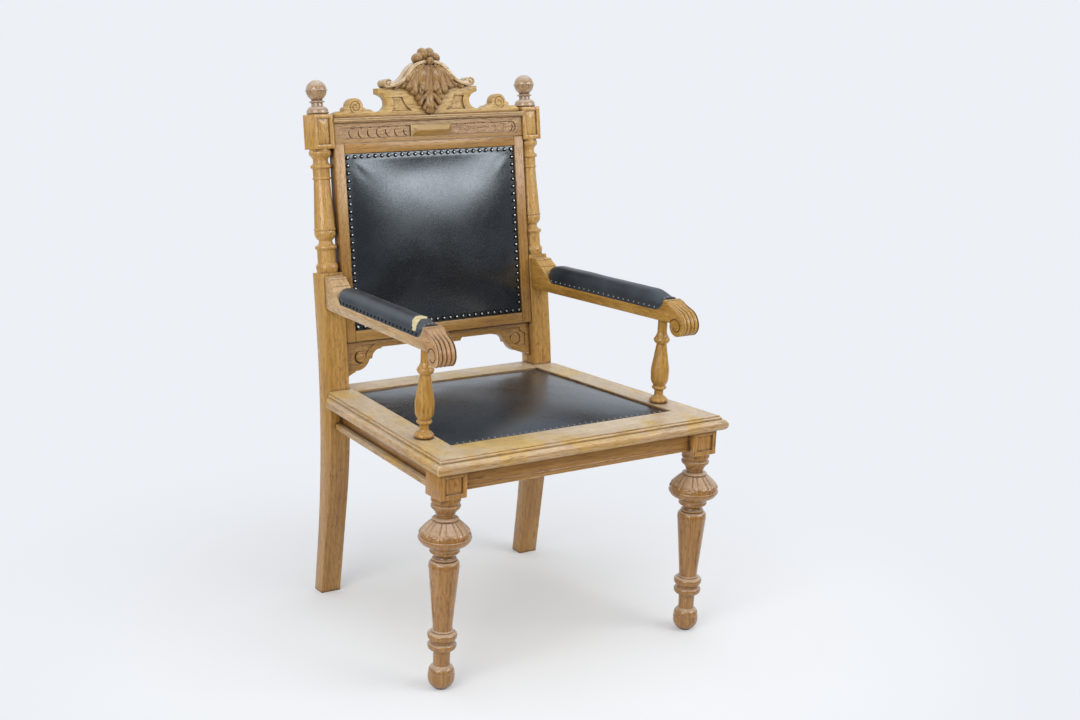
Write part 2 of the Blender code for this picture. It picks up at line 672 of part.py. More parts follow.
def make_seat_frame(chair):
    tip = (SEAT_HALF_FRONT, -SEAT_OVERHANG)
    inner = (opening_half(OPENING_FRONT), OPENING_FRONT)
    mitre = (inner[0] - tip[0], inner[1] - tip[1])
    gap = Vector((FIT, 0))
    cuts = ((Vector((-tip[0], tip[1])) + gap, (-mitre[0], mitre[1])), (Vector(tip) - gap, mitre))
    front = moulded_bar((0, -SEAT_OVERHANG), (1, 0), (0, 1), cuts, FRONT_BAR)
    solid("seat_frame_front", moved(front, SEAT_PLANE), OAK_WORN, chair)
    slant = math.hypot(1, SEAT_TAPER)
    splay = 2 * SIDE_BAR
    height = SEAT_HEIGHT - SEAT_FALL * ARM_SUPPORT_Y
    hole = [(-SPIGOT_LENGTH - FIT, SPIGOT_RADIUS + FIT), (FIT + SPIGOT_RADIUS, SPIGOT_RADIUS + FIT)]
    for name, side in SIDES:
        edge = (side * tip[0], tip[1])
        along = (-side * SEAT_TAPER / slant, 1 / slant)
        inward = (-side / slant, -SEAT_TAPER / slant)
        cuts = ((edge, (side * mitre[0], mitre[1])), ((0, SIDE_BAR_END), (1, 0)))
        body = moulded_bar(edge, along, inward, cuts, SIDE_BAR)
        piece = solid("seat_frame_" + name, moved(body, SEAT_PLANE), OAK_WORN, chair)
        wide = POST_WIDTH / 2 + FIT
        post = prism(post_outline(), -wide, wide, 0)
        cut(piece, post, chair, Matrix.Translation((side * POST_X, -FIT, 0)))
        corner = POST_OUTER - FIT
        wedge = [(corner, KNEE_Y), (corner + splay, KNEE_Y - splay), (corner + splay, KNEE_Y + splay),
                 (corner, KNEE_Y + splay)]
        wedge = prism([(side * x, y) for x, y in wedge], -FRAME_THICK - splay, splay, 2)
        cut(piece, moved(wedge, SEAT_PLANE), chair)
        spot = Matrix.Translation((side * arm_x(ARM_SUPPORT_Y), ARM_SUPPORT_Y, height))
        cut(piece, turned(hole, SUPPORT_SIDES), chair, spot)
    make_seat_back_bar(chair)


def make_seat_back_bar(chair):
    step = SIDE_BAR_END + FIT
    rear = OPENING_REAR + BACK_BAR
    wide = POST_INNER - FIT
    upper = [(opening_half(OPENING_REAR) - FIT, OPENING_REAR), (opening_half(step) - FIT, step),
             (wide, step), (wide, rear)]
    ledge = OPENING_REAR - PAD_LEDGE
    lower = [(opening_half(ledge) - PAD_LEDGE - FIT, ledge), (opening_half(step) - PAD_LEDGE - FIT, step),
             (wide, step), (wide, rear)]
    outlines = [half + [(-x, y) for x, y in reversed(half)] for half in (lower, upper)]
    piece = solid("seat_frame_back", prism(outlines[0], -FRAME_THICK, 0, 2), OAK_WORN, chair)
    cut(piece, block((-wide, wide), (ledge - PAD_LEDGE, OPENING_REAR), (-PAD_SINK, PAD_SINK)))
    join(piece, prism(outlines[1], -PAD_SINK + FIT, 0, 2))
    piece.data.transform(SEAT_PLANE)


def opening_loop(inset, z, scale=1.0, count=9):
    """Points round the seat opening; towards the middle the loop turns into an oval."""
    front = OPENING_FRONT + inset
    rear = OPENING_REAR - inset
    corners = [(-opening_half(front) + inset, front), (opening_half(front) - inset, front),
               (opening_half(rear) - inset, rear), (-opening_half(rear) + inset, rear)]
    return soft_loop(corners, z, scale, count)


def soft_loop(corners, level, scale, count):
    """A loop with count points a side, drawn in from straight sides to an oval as scale falls."""
    middle = sum((Vector(c) for c in corners), Vector((0, 0))) / 4
    loop = []
    for k in range(4):
        a = Vector(corners[k]) - middle
        b = Vector(corners[(k + 1) % 4]) - middle
        for i in range(count):
            straight = a.lerp(b, i / count)
            angle = math.pi / 4 * (2 * i / count - 1)
            oval = (a + b) / 2 * math.cos(angle) + (b - a) / 2 * math.sin(angle)
            spot = middle + oval.lerp(straight, scale ** 2) * scale
            loop.append((spot.x, spot.y, level))
    return loop


CROWN_STEPS = (0.93, 0.82, 0.66, 0.46, 0.24, 0.08)


def crown_height(scale, height):
    return height * (1 - scale ** 3)


def make_seat_upholstery(chair):
    plug = -FRAME_THICK + CLOTH_THICK + FIT
    ledge = PAD_LEDGE + FIT
    seat = -PAD_SINK + FIT
    loops = [opening_loop(ledge, plug), opening_loop(ledge, seat), opening_loop(FIT, seat),
             opening_loop(FIT, -PAD_EDGE_DROP)]
    for scale in CROWN_STEPS:
        loops.append(opening_loop(FIT, crown_height(scale, SEAT_CROWN) - PAD_EDGE_DROP, scale))
    solid("seat_pad", moved(loft(loops), SEAT_PLANE), LEATHER, chair)
    sheet = [opening_loop(ledge, z, count=2) for z in (-FRAME_THICK, -FRAME_THICK + CLOTH_THICK)]
    solid("seat_hessian", moved(loft(sheet), SEAT_PLANE), JUTE, chair)
    upper = -FRAME_THICK - FIT
    lower = upper - CLOTH_THICK - FIT
    front = OPENING_FRONT - PAD_LEDGE
    rear = OPENING_REAR + PAD_LEDGE
    for i in range(3):
        y = OPENING_FRONT + OPENING_DEPTH * (0.25 + 0.25 * i)
        half = opening_half(y) - PAD_LEDGE / 4
        strap = block((-half, half), (y - STRAP_WIDTH / 2, y + STRAP_WIDTH / 2), (upper - CLOTH_THICK, upper))
        solid("seat_webbing_cross_%d" % (i + 1), moved(strap, SEAT_PLANE), JUTE, chair)
        x = (i - 1) * opening_half(OPENING_REAR) / 2
        strap = block((x - STRAP_WIDTH / 2, x + STRAP_WIDTH / 2), (front, rear), (lower - CLOTH_THICK, lower))
        solid("seat_webbing_long_%d" % (i + 1), moved(strap, SEAT_PLANE), JUTE, chair)


# Arms

def arm_x(y):
    return POST_X + ARM_TAPER * (ARM_REAR_Y - y)


def arm_under(y):
    """Height of the underside of an arm between the kink at the heel and the scroll."""
    throat = SCROLL_Y + SCROLL_INNER_R
    kink = ARM_REAR_Y - 0.03
    t = (y - throat) / (kink - throat)
    return ARM_UNDER_FRONT + (ARM_UNDER_REAR - ARM_UNDER_FRONT) * t


def arm_seat(y):
    """Height of the wood under an arm pad."""
    t = (y - ARM_PAD_FRONT_Y) / (ARM_HEEL_Y - ARM_PAD_FRONT_Y)
    return ARM_SEAT_FRONT + (ARM_SEAT_REAR - ARM_SEAT_FRONT) * t


def arm_outline():
    """Side view of an arm: depth and height, from the post round the scroll and back."""
    kink = ARM_REAR_Y - 0.03
    run = [(post_front(ARM_UNDER_REAR) - FIT, ARM_UNDER_REAR), (kink, ARM_UNDER_REAR),
           (SCROLL_Y + SCROLL_INNER_R + 0.006, arm_under(SCROLL_Y + SCROLL_INNER_R + 0.006))]
    for i in range(13):
        t = i / 12
        angle = math.radians(12 - 192 * t)
        radius = SCROLL_INNER_R + (SCROLL_OUTER_R - SCROLL_INNER_R) * t * t
        run.append((SCROLL_Y + radius * math.cos(angle), SCROLL_Z + radius * math.sin(angle)))
    brow = ARM_SEAT_FRONT + 0.0219
    crest = [(SCROLL_Y + 0.0024, brow - 0.0113, 0.0075), (SCROLL_Y + 0.0315, brow, -0.0008),
             (SCROLL_Y + 0.0325, brow + 0.0018), (SCROLL_Y + 0.0405, brow + 0.0022),
             (ARM_PAD_FRONT_Y, ARM_SEAT_FRONT, -0.0045)]
    run = path([run[0]] + run[1:] + crest)
    heel = ARM_HEEL_TOP
    run += [(ARM_HEEL_Y, ARM_SEAT_REAR), (ARM_HEEL_Y + 0.0380, heel - 0.0140),
            (ARM_HEEL_Y + 0.0386, heel - 0.0124), (ARM_HEEL_Y + 0.0547, heel - 0.0030),
            (ARM_HEEL_Y + 0.0551, heel - 0.0008), (post_front(heel) - FIT, heel)]
    return run


def make_arms(chair, back, posts):
    half = ARM_WIDTH / 2
    tongue = ARM_TENON_WIDTH / 2
    rise = (ARM_UNDER_REAR + ARM_HEEL_TOP) / 2
    middle = (rise - KNEE_Z) / math.cos(LEAN)
    level = (middle - ARM_TENON_HEIGHT / 2, middle + ARM_TENON_HEIGHT / 2)
    seat_top = SEAT_HEIGHT - SEAT_FALL * (ARM_SUPPORT_Y - SUPPORT_FOOT)
    spot = Vector((arm_x(ARM_SUPPORT_Y), ARM_SUPPORT_Y, seat_top))
    height = arm_under(ARM_SUPPORT_Y + SPIGOT_RADIUS * 1.6) - spot.z
    bore = SPIGOT_RADIUS + FIT
    socket = [(height - SPIGOT_RADIUS, bore), (height + SPIGOT_LENGTH, bore)]
    for name, side in SIDES:
        plane = arm_plane(side)
        body = moved(prism(arm_outline(), -half, half, 0), plane)
        arm = solid("arm_" + name, body, OAK, chair)
        cut(arm, moved(arm_pad(FIT), plane), chair)
        x = side * arm_x(post_front(rise))
        tenon = block((x - tongue, x + tongue), (-TENON_LENGTH, TENON_LENGTH), level)
        join(arm, tenon, back)
        place = Matrix.Translation((side * spot.x, spot.y, spot.z))
        cut(arm, turned(socket, SUPPORT_SIDES), chair, place)
        hole = block(grown((x - tongue, x + tongue)), (-TENON_LENGTH / 2, TENON_LENGTH + FIT), grown(level))
        cut(posts[side], hole, back)
        solid("arm_support_" + name, turned(support_profile(height), SUPPORT_SIDES), OAK, chair, place)
        solid("arm_pad_" + name, moved(arm_pad(), plane), LEATHER, chair)


def arm_pad(grow=0.0):
    """Half-round pad on an arm, its rounded end let into the heel: loops across the arm."""
    front = ARM_PAD_FRONT_Y
    rear = ARM_PAD_REAR_Y
    stations = [(front, 0.80, 0.92), (front + 0.012, 0.97, 1.0), (front + 0.06, 1, 1), (front + 0.16, 1, 1),
                (rear - 0.10, 1, 1), (rear - 0.040, 1, 0.99), (rear - 0.020, 0.96, 0.96),
                (rear - 0.012, 0.87, 0.90), (rear - 0.006, 0.72, 0.80), (rear - 0.002, 0.50, 0.68),
                (rear - FIT + grow, 0.30, 0.60)]
    steps = 10
    loops = []
    for y, wide, high in stations:
        base = arm_seat(y) + FIT - grow
        loop = []
        for i in range(steps + 1):
            angle = math.pi * i / steps
            across = math.copysign(abs(math.cos(angle)) ** 0.6, math.cos(angle))
            rise = (ARM_PAD_HEIGHT * high + 2 * grow) * abs(math.sin(angle)) ** 0.8
            loop.append(((ARM_WIDTH / 2 * wide + grow) * across, y, base + rise))
        loops.append(loop)
    return loft(loops)


# Back panel

def make_back(back):
    deep = (BACK_SETBACK, BACK_SETBACK + BACK_THICK)
    inner = OPENING_HALF
    tongue = (BACK_SETBACK + BACK_THICK * 0.35, BACK_SETBACK + BACK_THICK * 0.65)
    tenon = STILE_WIDTH * 0.55
    low = BACK_LOW + BACK_BOTTOM_RAIL
    high = BACK_HIGH - BACK_TOP_RAIL
    rails = {"back_bottom_rail": (BACK_LOW, low), "back_top_rail": (high, BACK_HIGH)}
    stiles = {}
    for name, side in SIDES:
        limits = sorted((side * inner, side * BACK_HALF))
        stiles[side] = solid("back_stile_" + name, block(limits, deep, (BACK_LOW, BACK_HIGH)), OAK, back)
    for name, (bottom, top) in rails.items():
        rise = (bottom + (top - bottom) * 0.25, top - (top - bottom) * 0.25)
        end = inner - FIT
        tail = end + tenon
        rail = tenoned(0, (-end, end), (-tail, tail), (deep, (bottom, top)), (tongue, rise))
        solid(name, rail, OAK, back)
        for side in (-1, 1):
            cut(stiles[side], mortise(0, side * end, side * tail, (tongue, rise)), back)
    make_back_upholstery(back, inner - FIT, low + FIT, high - FIT)


def make_back_upholstery(back, half, low, high):
    corners = [(-half, low), (half, low), (half, high), (-half, high)]
    rear = BACK_SETBACK + BACK_THICK
    edge = BACK_SETBACK + BACK_EDGE
    loops = [soft_loop(corners, rear, 1.0, 9), soft_loop(corners, edge, 1.0, 9)]
    for scale in CROWN_STEPS:
        loops.append(soft_loop(corners, edge - crown_height(scale, BACK_CROWN), scale, 9))
    upright = [[(x, d, h) for x, h, d in loop] for loop in loops]
    solid("back_pad", loft(upright), LEATHER, back)
    strap_front = rear + FIT
    lap = BACK_COVER_LAP
    for i in range(3):
        h = low + (high - low) * (0.25 + 0.25 * i)
        strap = block((-half - lap, half + lap), (strap_front, strap_front + CLOTH_THICK),
                      (h - STRAP_WIDTH / 2, h + STRAP_WIDTH / 2))
        solid("back_webbing_%d" % (i + 1), strap, JUTE, back)
    cover_front = strap_front + CLOTH_THICK + FIT
    cover_rear = cover_front + CLOTH_THICK
    cover = block((-half - lap, half + lap), (cover_front, cover_rear), (low - lap, high + lap))
    solid("back_cover", cover, CLOTH, back)


# Frieze, cornice and crest

def make_frieze(back, posts):
    low = BACK_HIGH + FIT
    high = low + FRIEZE_HEIGHT
    deep = (FRIEZE_SETBACK, FRIEZE_SETBACK + FRIEZE_THICK)
    tongue = (deep[0] + FRIEZE_THICK * 0.3, deep[1] - FRIEZE_THICK * 0.3)
    rise = (low + FRIEZE_HEIGHT * 0.25, high - FRIEZE_HEIGHT * 0.25)
    end = POST_INNER - FIT
    tail = end + FRIEZE_TENON
    rail = tenoned(0, (-end, end), (-tail, tail), (deep, (low, high)), (tongue, rise))
    frieze = solid("frieze_rail", rail, OAK_CARVED, back)
    middle = (low + high) / 2
    depth = deep[0]
    for side in (-1, 1):
        cut(posts[side], mortise(0, side * end, side * tail, (tongue, rise)), back)
        inner = BOSS_HALF_LENGTH + 0.006
        half = BOSS_HEIGHT / 2
        outer = end - 0.016 - half
        panel = path([(inner, middle - half), (outer, middle - half), (outer, middle + half, -half * 0.98),
                      (inner, middle + half)])
        panel = prism([(side * x, h) for x, h in panel], depth - PANEL_DEPTH, depth + PANEL_DEPTH * 0.8, 1)
        cut(frieze, panel, back)
    boss_loops = []
    hip = BOSS_HEIGHT * 0.30
    for place, inset in ((depth - FIT, 0), (depth - BOSS_PROUD * 0.3, 0), (depth - BOSS_PROUD, hip)):
        x = BOSS_HALF_LENGTH - inset
        low = middle - BOSS_HEIGHT / 2 + inset
        high = middle + BOSS_HEIGHT / 2 - inset
        boss_loops.append([(-x, place, low), (x, place, low), (x, place, high), (-x, place, high)])
    solid("frieze_boss", loft(boss_loops), OAK, back)
    return frieze


def make_cornice(back):
    front = CORNICE_FRONT
    rear = front + CORNICE_DEPTH
    low = CORNICE_LOW
    high = low + CORNICE_HEIGHT
    section = path([(rear, low), (rear, high), (front, high), (front, high - 0.0035),
                    (front + 0.003, high - 0.0040), (front + 0.009, low, -0.0018)])
    end = POST_INNER - FIT
    return solid("cornice", prism(section, -end, end, 0), OAK_CARVED, back)


def hood_line():
    """Middle of the swan-neck band, from the peak to its rolled end, and the middle of the roll."""
    rest = CREST_SHOULDER + FIT + HOOD_SCROLL_R
    start = (0, HOOD_PEAK)
    turn = (HOOD_SCROLL_X * 0.477, HOOD_PEAK - 0.0200)
    end = (HOOD_SCROLL_X - HOOD_SCROLL_R, rest - HOOD_SCROLL_R * 0.55)
    return path([start, turn + (0.0075,), end + (-0.0055,)]), (HOOD_SCROLL_X, rest)


def hood_outline(grow=0.0):
    line, scroll = hood_line()
    radius = HOOD_SCROLL_R + grow
    thick = HOOD_THICK / 2 + grow
    roll = []
    for i in range(10):
        angle = math.radians(-110 + 265 * i / 9)
        roll.append((scroll[0] + radius * math.cos(angle), scroll[1] + radius * math.sin(angle)))
    upper = [p for p in offset(line, thick) if math.dist(p, scroll) > radius * 1.1]
    lower = [p for p in offset(line, -thick) if math.dist(p, scroll) > radius * 1.1]
    half = lower + roll + upper[::-1]
    half[0] = (0, half[0][1])
    half[-1] = (0, half[-1][1])
    return mirrored(half)


def crest_outline():
    """Right half of the fretted crest board above the cornice, then mirrored."""
    end = POST_INNER - 0.003
    volute = Vector((end - 0.0525, 0.0217))
    radius = 0.0166
    run = [(0, 0), (end, 0), (end, 0.004), (end - 0.021, 0.0135, -0.0035), (end - 0.0265, 0.0135),
           (end - 0.0275, 0.0200)]
    for i in range(9):
        angle = math.radians(6 + 180 * i / 8)
        run.append(tuple(volute + radius * 1.06 * Vector((math.cos(angle), math.sin(angle)))))
    run += [(volute.x - radius * 1.30, 0.0190), (volute.x - radius * 1.45, 0.0165)]
    run = path(run)
    bite = Vector((CREST_EAR + 0.003, 0.0275))
    for i in range(11):
        angle = math.radians(315 - 198 * i / 10)
        run.append(tuple(bite + Vector((0.0230 * math.cos(angle), 0.0180 * math.sin(angle)))))
    run += [(CREST_EAR, CREST_SHOULDER - EAR_HEIGHT), (CREST_EAR, CREST_SHOULDER)]
    line, scroll = hood_line()
    under = offset(line, -HOOD_THICK / 2 - FIT)
    rest = [p for p in under if p[1] > CREST_SHOULDER + FIT and math.dist(p, scroll) > HOOD_SCROLL_R * 1.1]
    run.append((rest[-1][0], CREST_SHOULDER))
    run += [(x, h) for x, h in rest[::-1]]
    run[-1] = (0, run[-1][1])
    return mirrored(run)


def crest_panel(side):
    """Cutter for a sunk panel beside the leaf, with hollow ends."""
    low = 0.0100
    high = CREST_SHOULDER * 0.68
    run = path([(0.0400, low), (0.0900, low), (0.0875, high, 0.0045), (0.0620, high), (0.0400, low, 0.0045)])
    outline = [(side * x, h) for x, h in run[:-1]]
    return prism(outline, CREST_FRONT - PANEL_DEPTH, CREST_FRONT + PANEL_DEPTH * 0.7, 1)


def make_crest(back, frieze, cornice):
    place = Matrix.Translation((0, 0, CREST_LOW))
    deep = (CREST_FRONT, CREST_FRONT + CREST_THICK)
    board = solid("crest_board", prism(crest_outline(), deep[0], deep[1], 1), OAK_CARVED, back, place)
    middle = sum(deep) / 2
    half = TENON_THICK / 2
    reach = CORNICE_HEIGHT + FRIEZE_HEIGHT * 0.2
    for x in (-POST_INNER / 2, POST_INNER / 2):
        limits = ((x - TENON_LENGTH / 2, x + TENON_LENGTH / 2), (middle - half, middle + half))
        join(board, block(limits[0], limits[1], (-reach, CREST_SHOULDER / 8)), back, place)
        for piece in (frieze, cornice):
            cut(piece, block(grown(limits[0]), grown(limits[1]), (-reach - FIT, FIT * 2)), back, place)
    for side in (-1, 1):
        cut(board, crest_panel(side), back, place)
    hood = prism(hood_outline(), HOOD_FRONT, HOOD_FRONT + HOOD_DEPTH, 1)
    solid("crest_hood", hood, OAK_CARVED, back, place)
    make_leaf(back, place)
    make_shell(back, place)


def relief(name, lobes, back, place, clear):
    """One carved relief from swelling lobes, trimmed to clear what carries it."""
    first = lobes[0]
    piece = solid(name, ellipsoid(*first), OAK_CARVED, back, place)
    for lobe in lobes[1:]:
        join(piece, ellipsoid(*lobe), back, place)
    for bm in clear:
        cut(piece, bm, back, place)
    return piece


def make_leaf(back, place):
    """Hanging acanthus leaf: a middle rib with three pairs of leaflets on the board's face."""
    face = CREST_FRONT - FIT
    t = LEAF_THICK
    root = HOOD_PEAK - HOOD_THICK * 1.8
    lobes = [((0, face, root / 2 + 0.001), (0.0120, t, root / 2), 0.0),
             ((0, face, 0.0120), (0.0105, t, 0.0110), 0.0)]
    tips = ((0.000, 0.062, 0.029, 0.020, 0.0085), (0.004, 0.098, 0.048, 0.040, 0.0110),
            (0.006, 0.094, 0.080, 0.0515, 0.0100))
    for x0, h0, x1, h1, wide in tips:
        long = math.hypot(x1 - x0, h1 - h0) / 2
        angle = math.atan2(x1 - x0, h0 - h1)
        for side in (-1, 1):
            lobes.append(((side * (x0 + x1) / 2, face, (h0 + h1) / 2), (wide, t * 0.8, long), -side * angle))
    span = 2 * HOOD_SCROLL_X
    behind = block((-span, span), (face, face + 2 * t), (-span, span))
    hood = prism(hood_outline(FIT), HOOD_FRONT - 2 * t, HOOD_FRONT + HOOD_DEPTH, 1)
    above = block((-span, span), (face - 2 * t, face + 2 * t), (root, span))
    relief("crest_leaf", lobes, back, place, (behind, hood, above))


def make_shell(back, place):
    """Shell of rounded lobes on the peak of the hood, with a drop in front."""
    middle = HOOD_FRONT + HOOD_DEPTH * 0.45
    peak = HOOD_PEAK
    lobes = [((0, middle, peak + 0.0145), (0.0120, 0.0150, 0.0160), 0.0),
             ((0, HOOD_FRONT - 0.003, peak + 0.0030), (0.0082, 0.0090, 0.0088), 0.0)]
    for side in (-1, 1):
        lobes.append(((side * 0.0150, middle, peak + 0.0115), (0.0110, 0.0140, 0.0125), 0.0))
        lobes.append(((side * 0.0255, middle, peak + 0.0070), (0.0090, 0.0130, 0.0095), 0.0))
    hood = prism(hood_outline(FIT), HOOD_FRONT - FIT, HOOD_FRONT + HOOD_DEPTH + FIT, 1)
    span = HOOD_SCROLL_X
    low = block((-span, span), (HOOD_FRONT - FIT, 2 * span), (0, peak - HOOD_THICK))
    skirt = block((-span, span), (HOOD_FRONT - span, HOOD_FRONT + FIT), (0, peak - HOOD_THICK * 1.1))
    relief("crest_shell", lobes, back, place, (hood, low, skirt))


def make_lower_rail(back, posts):
    """Sawn board under the back frame: dropped middle and a scrolled bracket at each post."""
    end = POST_INNER - FIT
    root = end - BRACKET_LENGTH
    edge = LOWER_RAIL_EDGE
    top = BACK_LOW - FIT
    drop = edge - LOWER_RAIL_DROP
    tip = BRACKET_TIP
    fall = edge - tip
    half = path([(0, drop), (0.052, drop), (0.062, edge, 0.0030), (root, edge), (root + 0.001, edge - 0.0045),
                 (root + 0.005, edge - 0.0050), (root + 0.024, edge - fall * 0.47, -0.0065),
                 (root + 0.028, edge - fall * 0.52), (root + 0.060, edge - fall * 0.86, 0.0085),
                 (root + 0.066, edge - fall * 0.86), (end, tip, -0.0025), (end, top), (0, top)])
    deep = (LOWER_RAIL_SETBACK, LOWER_RAIL_SETBACK + LOWER_RAIL_THICK)
    board = solid("lower_back_rail", prism(mirrored(half), deep[0], deep[1], 1), OAK, back)
    middle = sum(deep) / 2
    tongue = (middle - TENON_THICK / 2, middle + TENON_THICK / 2)
    rise = (tip + TENON_SHOULDER, top - TENON_SHOULDER)
    for side in (-1, 1):
        limits = sorted((side * (end - TENON_SHOULDER), side * (end + FRIEZE_TENON)))
        join(board, block(limits, tongue, rise), back)
        limits = sorted((side * (end - FIT), side * (end + FRIEZE_TENON + FIT)))
        cut(posts[side], block(limits, grown(tongue), grown(rise)), back)


def centre_chair(chair):
    """Move the chair so that its footprint is centred over the origin."""
    bpy.context.view_layer.update()
    depths = []
    for piece in bpy.data.objects:
        if piece.type == 'MESH':
            depths += [(piece.matrix_world @ corner.co).y for corner in piece.data.vertices]
    chair.location.y = -(min(depths) + max(depths)) / 2


def shade(angle=34):
    for piece in bpy.data.objects:
        if piece.type == 'MESH':
            piece.data.shade_smooth()
            piece.data.set_sharp_from_angle(angle=math.radians(angle))


def main():
    for old in list(bpy.data.objects):
        bpy.data.objects.remove(old, do_unlink=True)
    chair = stand("chair")
    back = stand("back_plane", chair, BACK_PLANE)
    legs = make_front_legs(chair)
    posts = make_rear_posts(chair, back)
    make_rails(chair, legs, posts)
    make_corner_blocks(chair)
    make_seat_frame(chair)
    make_seat_upholstery(chair)
    make_arms(chair, back, posts)
    make_back(back)
    frieze = make_frieze(back, posts)
    cornice = make_cornice(back)
    make_crest(back, frieze, cornice)
    make_lower_rail(back, posts)
    shade()
    centre_chair(chair)


main()
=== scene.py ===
import math

import bmesh
import bpy
from mathutils import Matrix, Vector, noise


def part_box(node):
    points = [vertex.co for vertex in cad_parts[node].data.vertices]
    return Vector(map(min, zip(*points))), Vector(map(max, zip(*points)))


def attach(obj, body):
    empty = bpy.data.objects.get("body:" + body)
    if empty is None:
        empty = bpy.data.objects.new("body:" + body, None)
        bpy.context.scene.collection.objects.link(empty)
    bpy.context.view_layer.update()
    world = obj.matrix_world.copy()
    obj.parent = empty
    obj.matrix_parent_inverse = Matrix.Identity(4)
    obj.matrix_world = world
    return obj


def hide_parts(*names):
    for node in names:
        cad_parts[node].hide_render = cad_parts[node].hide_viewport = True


# Carved oak armchair in black leather. Metres, +Z up, the chair faces -Y. Shapes are drawn with
# y = 0 on the axis of the front legs. The back is drawn in its leaning plane: x across, d behind
# the front of the posts, h up the plane from the knee; k is the height above the cornice.
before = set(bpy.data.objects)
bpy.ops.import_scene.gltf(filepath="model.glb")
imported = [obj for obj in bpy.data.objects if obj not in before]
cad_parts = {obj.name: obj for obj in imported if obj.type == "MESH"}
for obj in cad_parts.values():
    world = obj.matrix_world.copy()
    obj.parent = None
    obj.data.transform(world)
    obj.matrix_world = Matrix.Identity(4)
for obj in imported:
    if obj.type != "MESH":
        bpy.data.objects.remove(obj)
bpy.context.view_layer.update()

FIT = 0.0003
EASE = 0.0012

# Faces that meet at a larger angle, in degrees, keep a sharp edge
PLAIN = 34
CRISP = 28
SOFT = 60

# Seat
SEAT_HEIGHT = 0.460
SEAT_FALL = 0.0185
SEAT_HALF_FRONT = 0.3375
SEAT_TAPER = 0.0830
SEAT_OVERHANG = 0.0434
FRAME_THICK = 0.030
FRONT_BAR = 0.0864
SIDE_BAR = 0.0725
BACK_BAR = 0.060
OPENING_FRONT = 0.0430
OPENING_REAR = 0.4726
PAD_LEDGE = 0.012
PAD_SINK = 0.010
PAD_EDGE_DROP = 0.004
SEAT_CROWN = 0.014
STRAP_WIDTH = 0.050
STRAP_THICK = 0.0012
STRAP_WAVE = 0.0009
STRAP_STEPS = 60
SAT_RISE = 0.004
PAD_POINTS = 36
PAD_STEPS = (0.985, 0.968, 0.95, 0.93, 0.91, 0.885, 0.86, 0.83, 0.80, 0.76, 0.72, 0.67, 0.62, 0.56, 0.50, 0.43,
             0.36, 0.29, 0.22, 0.15, 0.09, 0.04)

# Rails, legs and posts
RAIL_THICK = 0.022
FRONT_RAIL_DROP = 0.070
SIDE_RAIL_DROP = 0.0795
FRONT_RAIL_SETBACK = 0.016
SIDE_RAIL_INSET = 0.003
STRIP_PROUD = 0.0109
STRIP_HEIGHT = 0.011
BEAD_PROUD = 0.004
REAR_RAIL_FROM_FRONT = 0.0125
LEG_X = 0.2925
LEG_HALF = 0.028
LEG_BLOCK_BOTTOM = 0.380
BULB_RIM = LEG_BLOCK_BOTTOM - 0.0770
BULB_COLLAR = LEG_BLOCK_BOTTOM - 0.0460
TONGUES = 8
DART_SHARE = 0.36
TONGUE_END = 0.0065
DART_END = 0.0035
TONGUE_SWELL = 0.0014
TONGUE_GROOVE = 0.0013
FLUTES = 4
FLUTE_LOW = 0.141
FLUTE_HIGH = 0.222
FLUTE_HALF = 0.0026
FLUTE_DEPTH = 0.0019
PANEL_MARGIN = 0.0088
PANEL_DEPTH = 0.0036
POST_X = 0.2515
POST_HALF = 0.0225
POST_DEPTH = 0.047
KNEE_Y = 0.4905
KNEE_Z = 0.450
LEAN_SLOPE = 0.157
POST_SHOULDER = 0.2430
COLUMN_LENGTH = 0.2506
BLOCK_LOW = 0.4936
BLOCK_TOP = 0.5635

# Rear legs: foot, rake and reach of the bend of the front line and of the rear line
REAR_LEG_FRONT = (0.5220, 0.125, 0.150)
REAR_LEG_REAR = (0.5530, 0.100, 0.230)

# Back and crest
BACK_SETBACK = 0.003
BACK_THICK = 0.025
BACK_LOW = 0.0967
BACK_HIGH = 0.5016
STILE_WIDTH = 0.0227
BACK_BOTTOM_RAIL = 0.0222
BACK_TOP_RAIL = 0.0203
BACK_CROWN = 0.022
BACK_EDGE = 0.004
COVER_LAP = 0.010
FRIEZE_HEIGHT = 0.0415
FRIEZE_PANEL_DEPTH = 0.0022
CREST_PANEL_DEPTH = 0.0040
FRIEZE_SETBACK = 0.004
FRIEZE_THICK = 0.024
FRIEZE_CUTS = 7
FRIEZE_CUT_DEPTH = 0.0022
FRIEZE_WORN_DEPTH = 0.0004
BOSS_HALF_LENGTH = 0.0485
BOSS_HEIGHT = 0.0233
BOSS_PROUD = 0.010
CORNICE_LOW = 0.5437
CORNICE_HEIGHT = 0.0101
CORNICE_FRONT = -0.005
CORNICE_DEPTH = 0.035
CREST_LOW = 0.5541
CREST_FRONT = 0.006
CREST_THICK = 0.022
HOOD_THICK = 0.007
HOOD_FRONT = -0.005
HOOD_DEPTH = 0.033
HOOD_PEAK = 0.1085
HOOD_SCROLL_X = 0.0995
HOOD_SCROLL_R = 0.0092
VOLUTE_LINE_R = 0.0013
CREST_SHOULDER = 0.0575
CREST_EAR = 0.1195
EAR_HEIGHT = 0.0110
LOWER_RAIL_SETBACK = 0.015
LOWER_RAIL_THICK = 0.020
LOWER_RAIL_EDGE = 0.0788
LOWER_RAIL_DROP = 0.0066
BRACKET_LENGTH = 0.080
BRACKET_TIP = 0.0206
BRACKET_FIELD_DEPTH = 0.0026

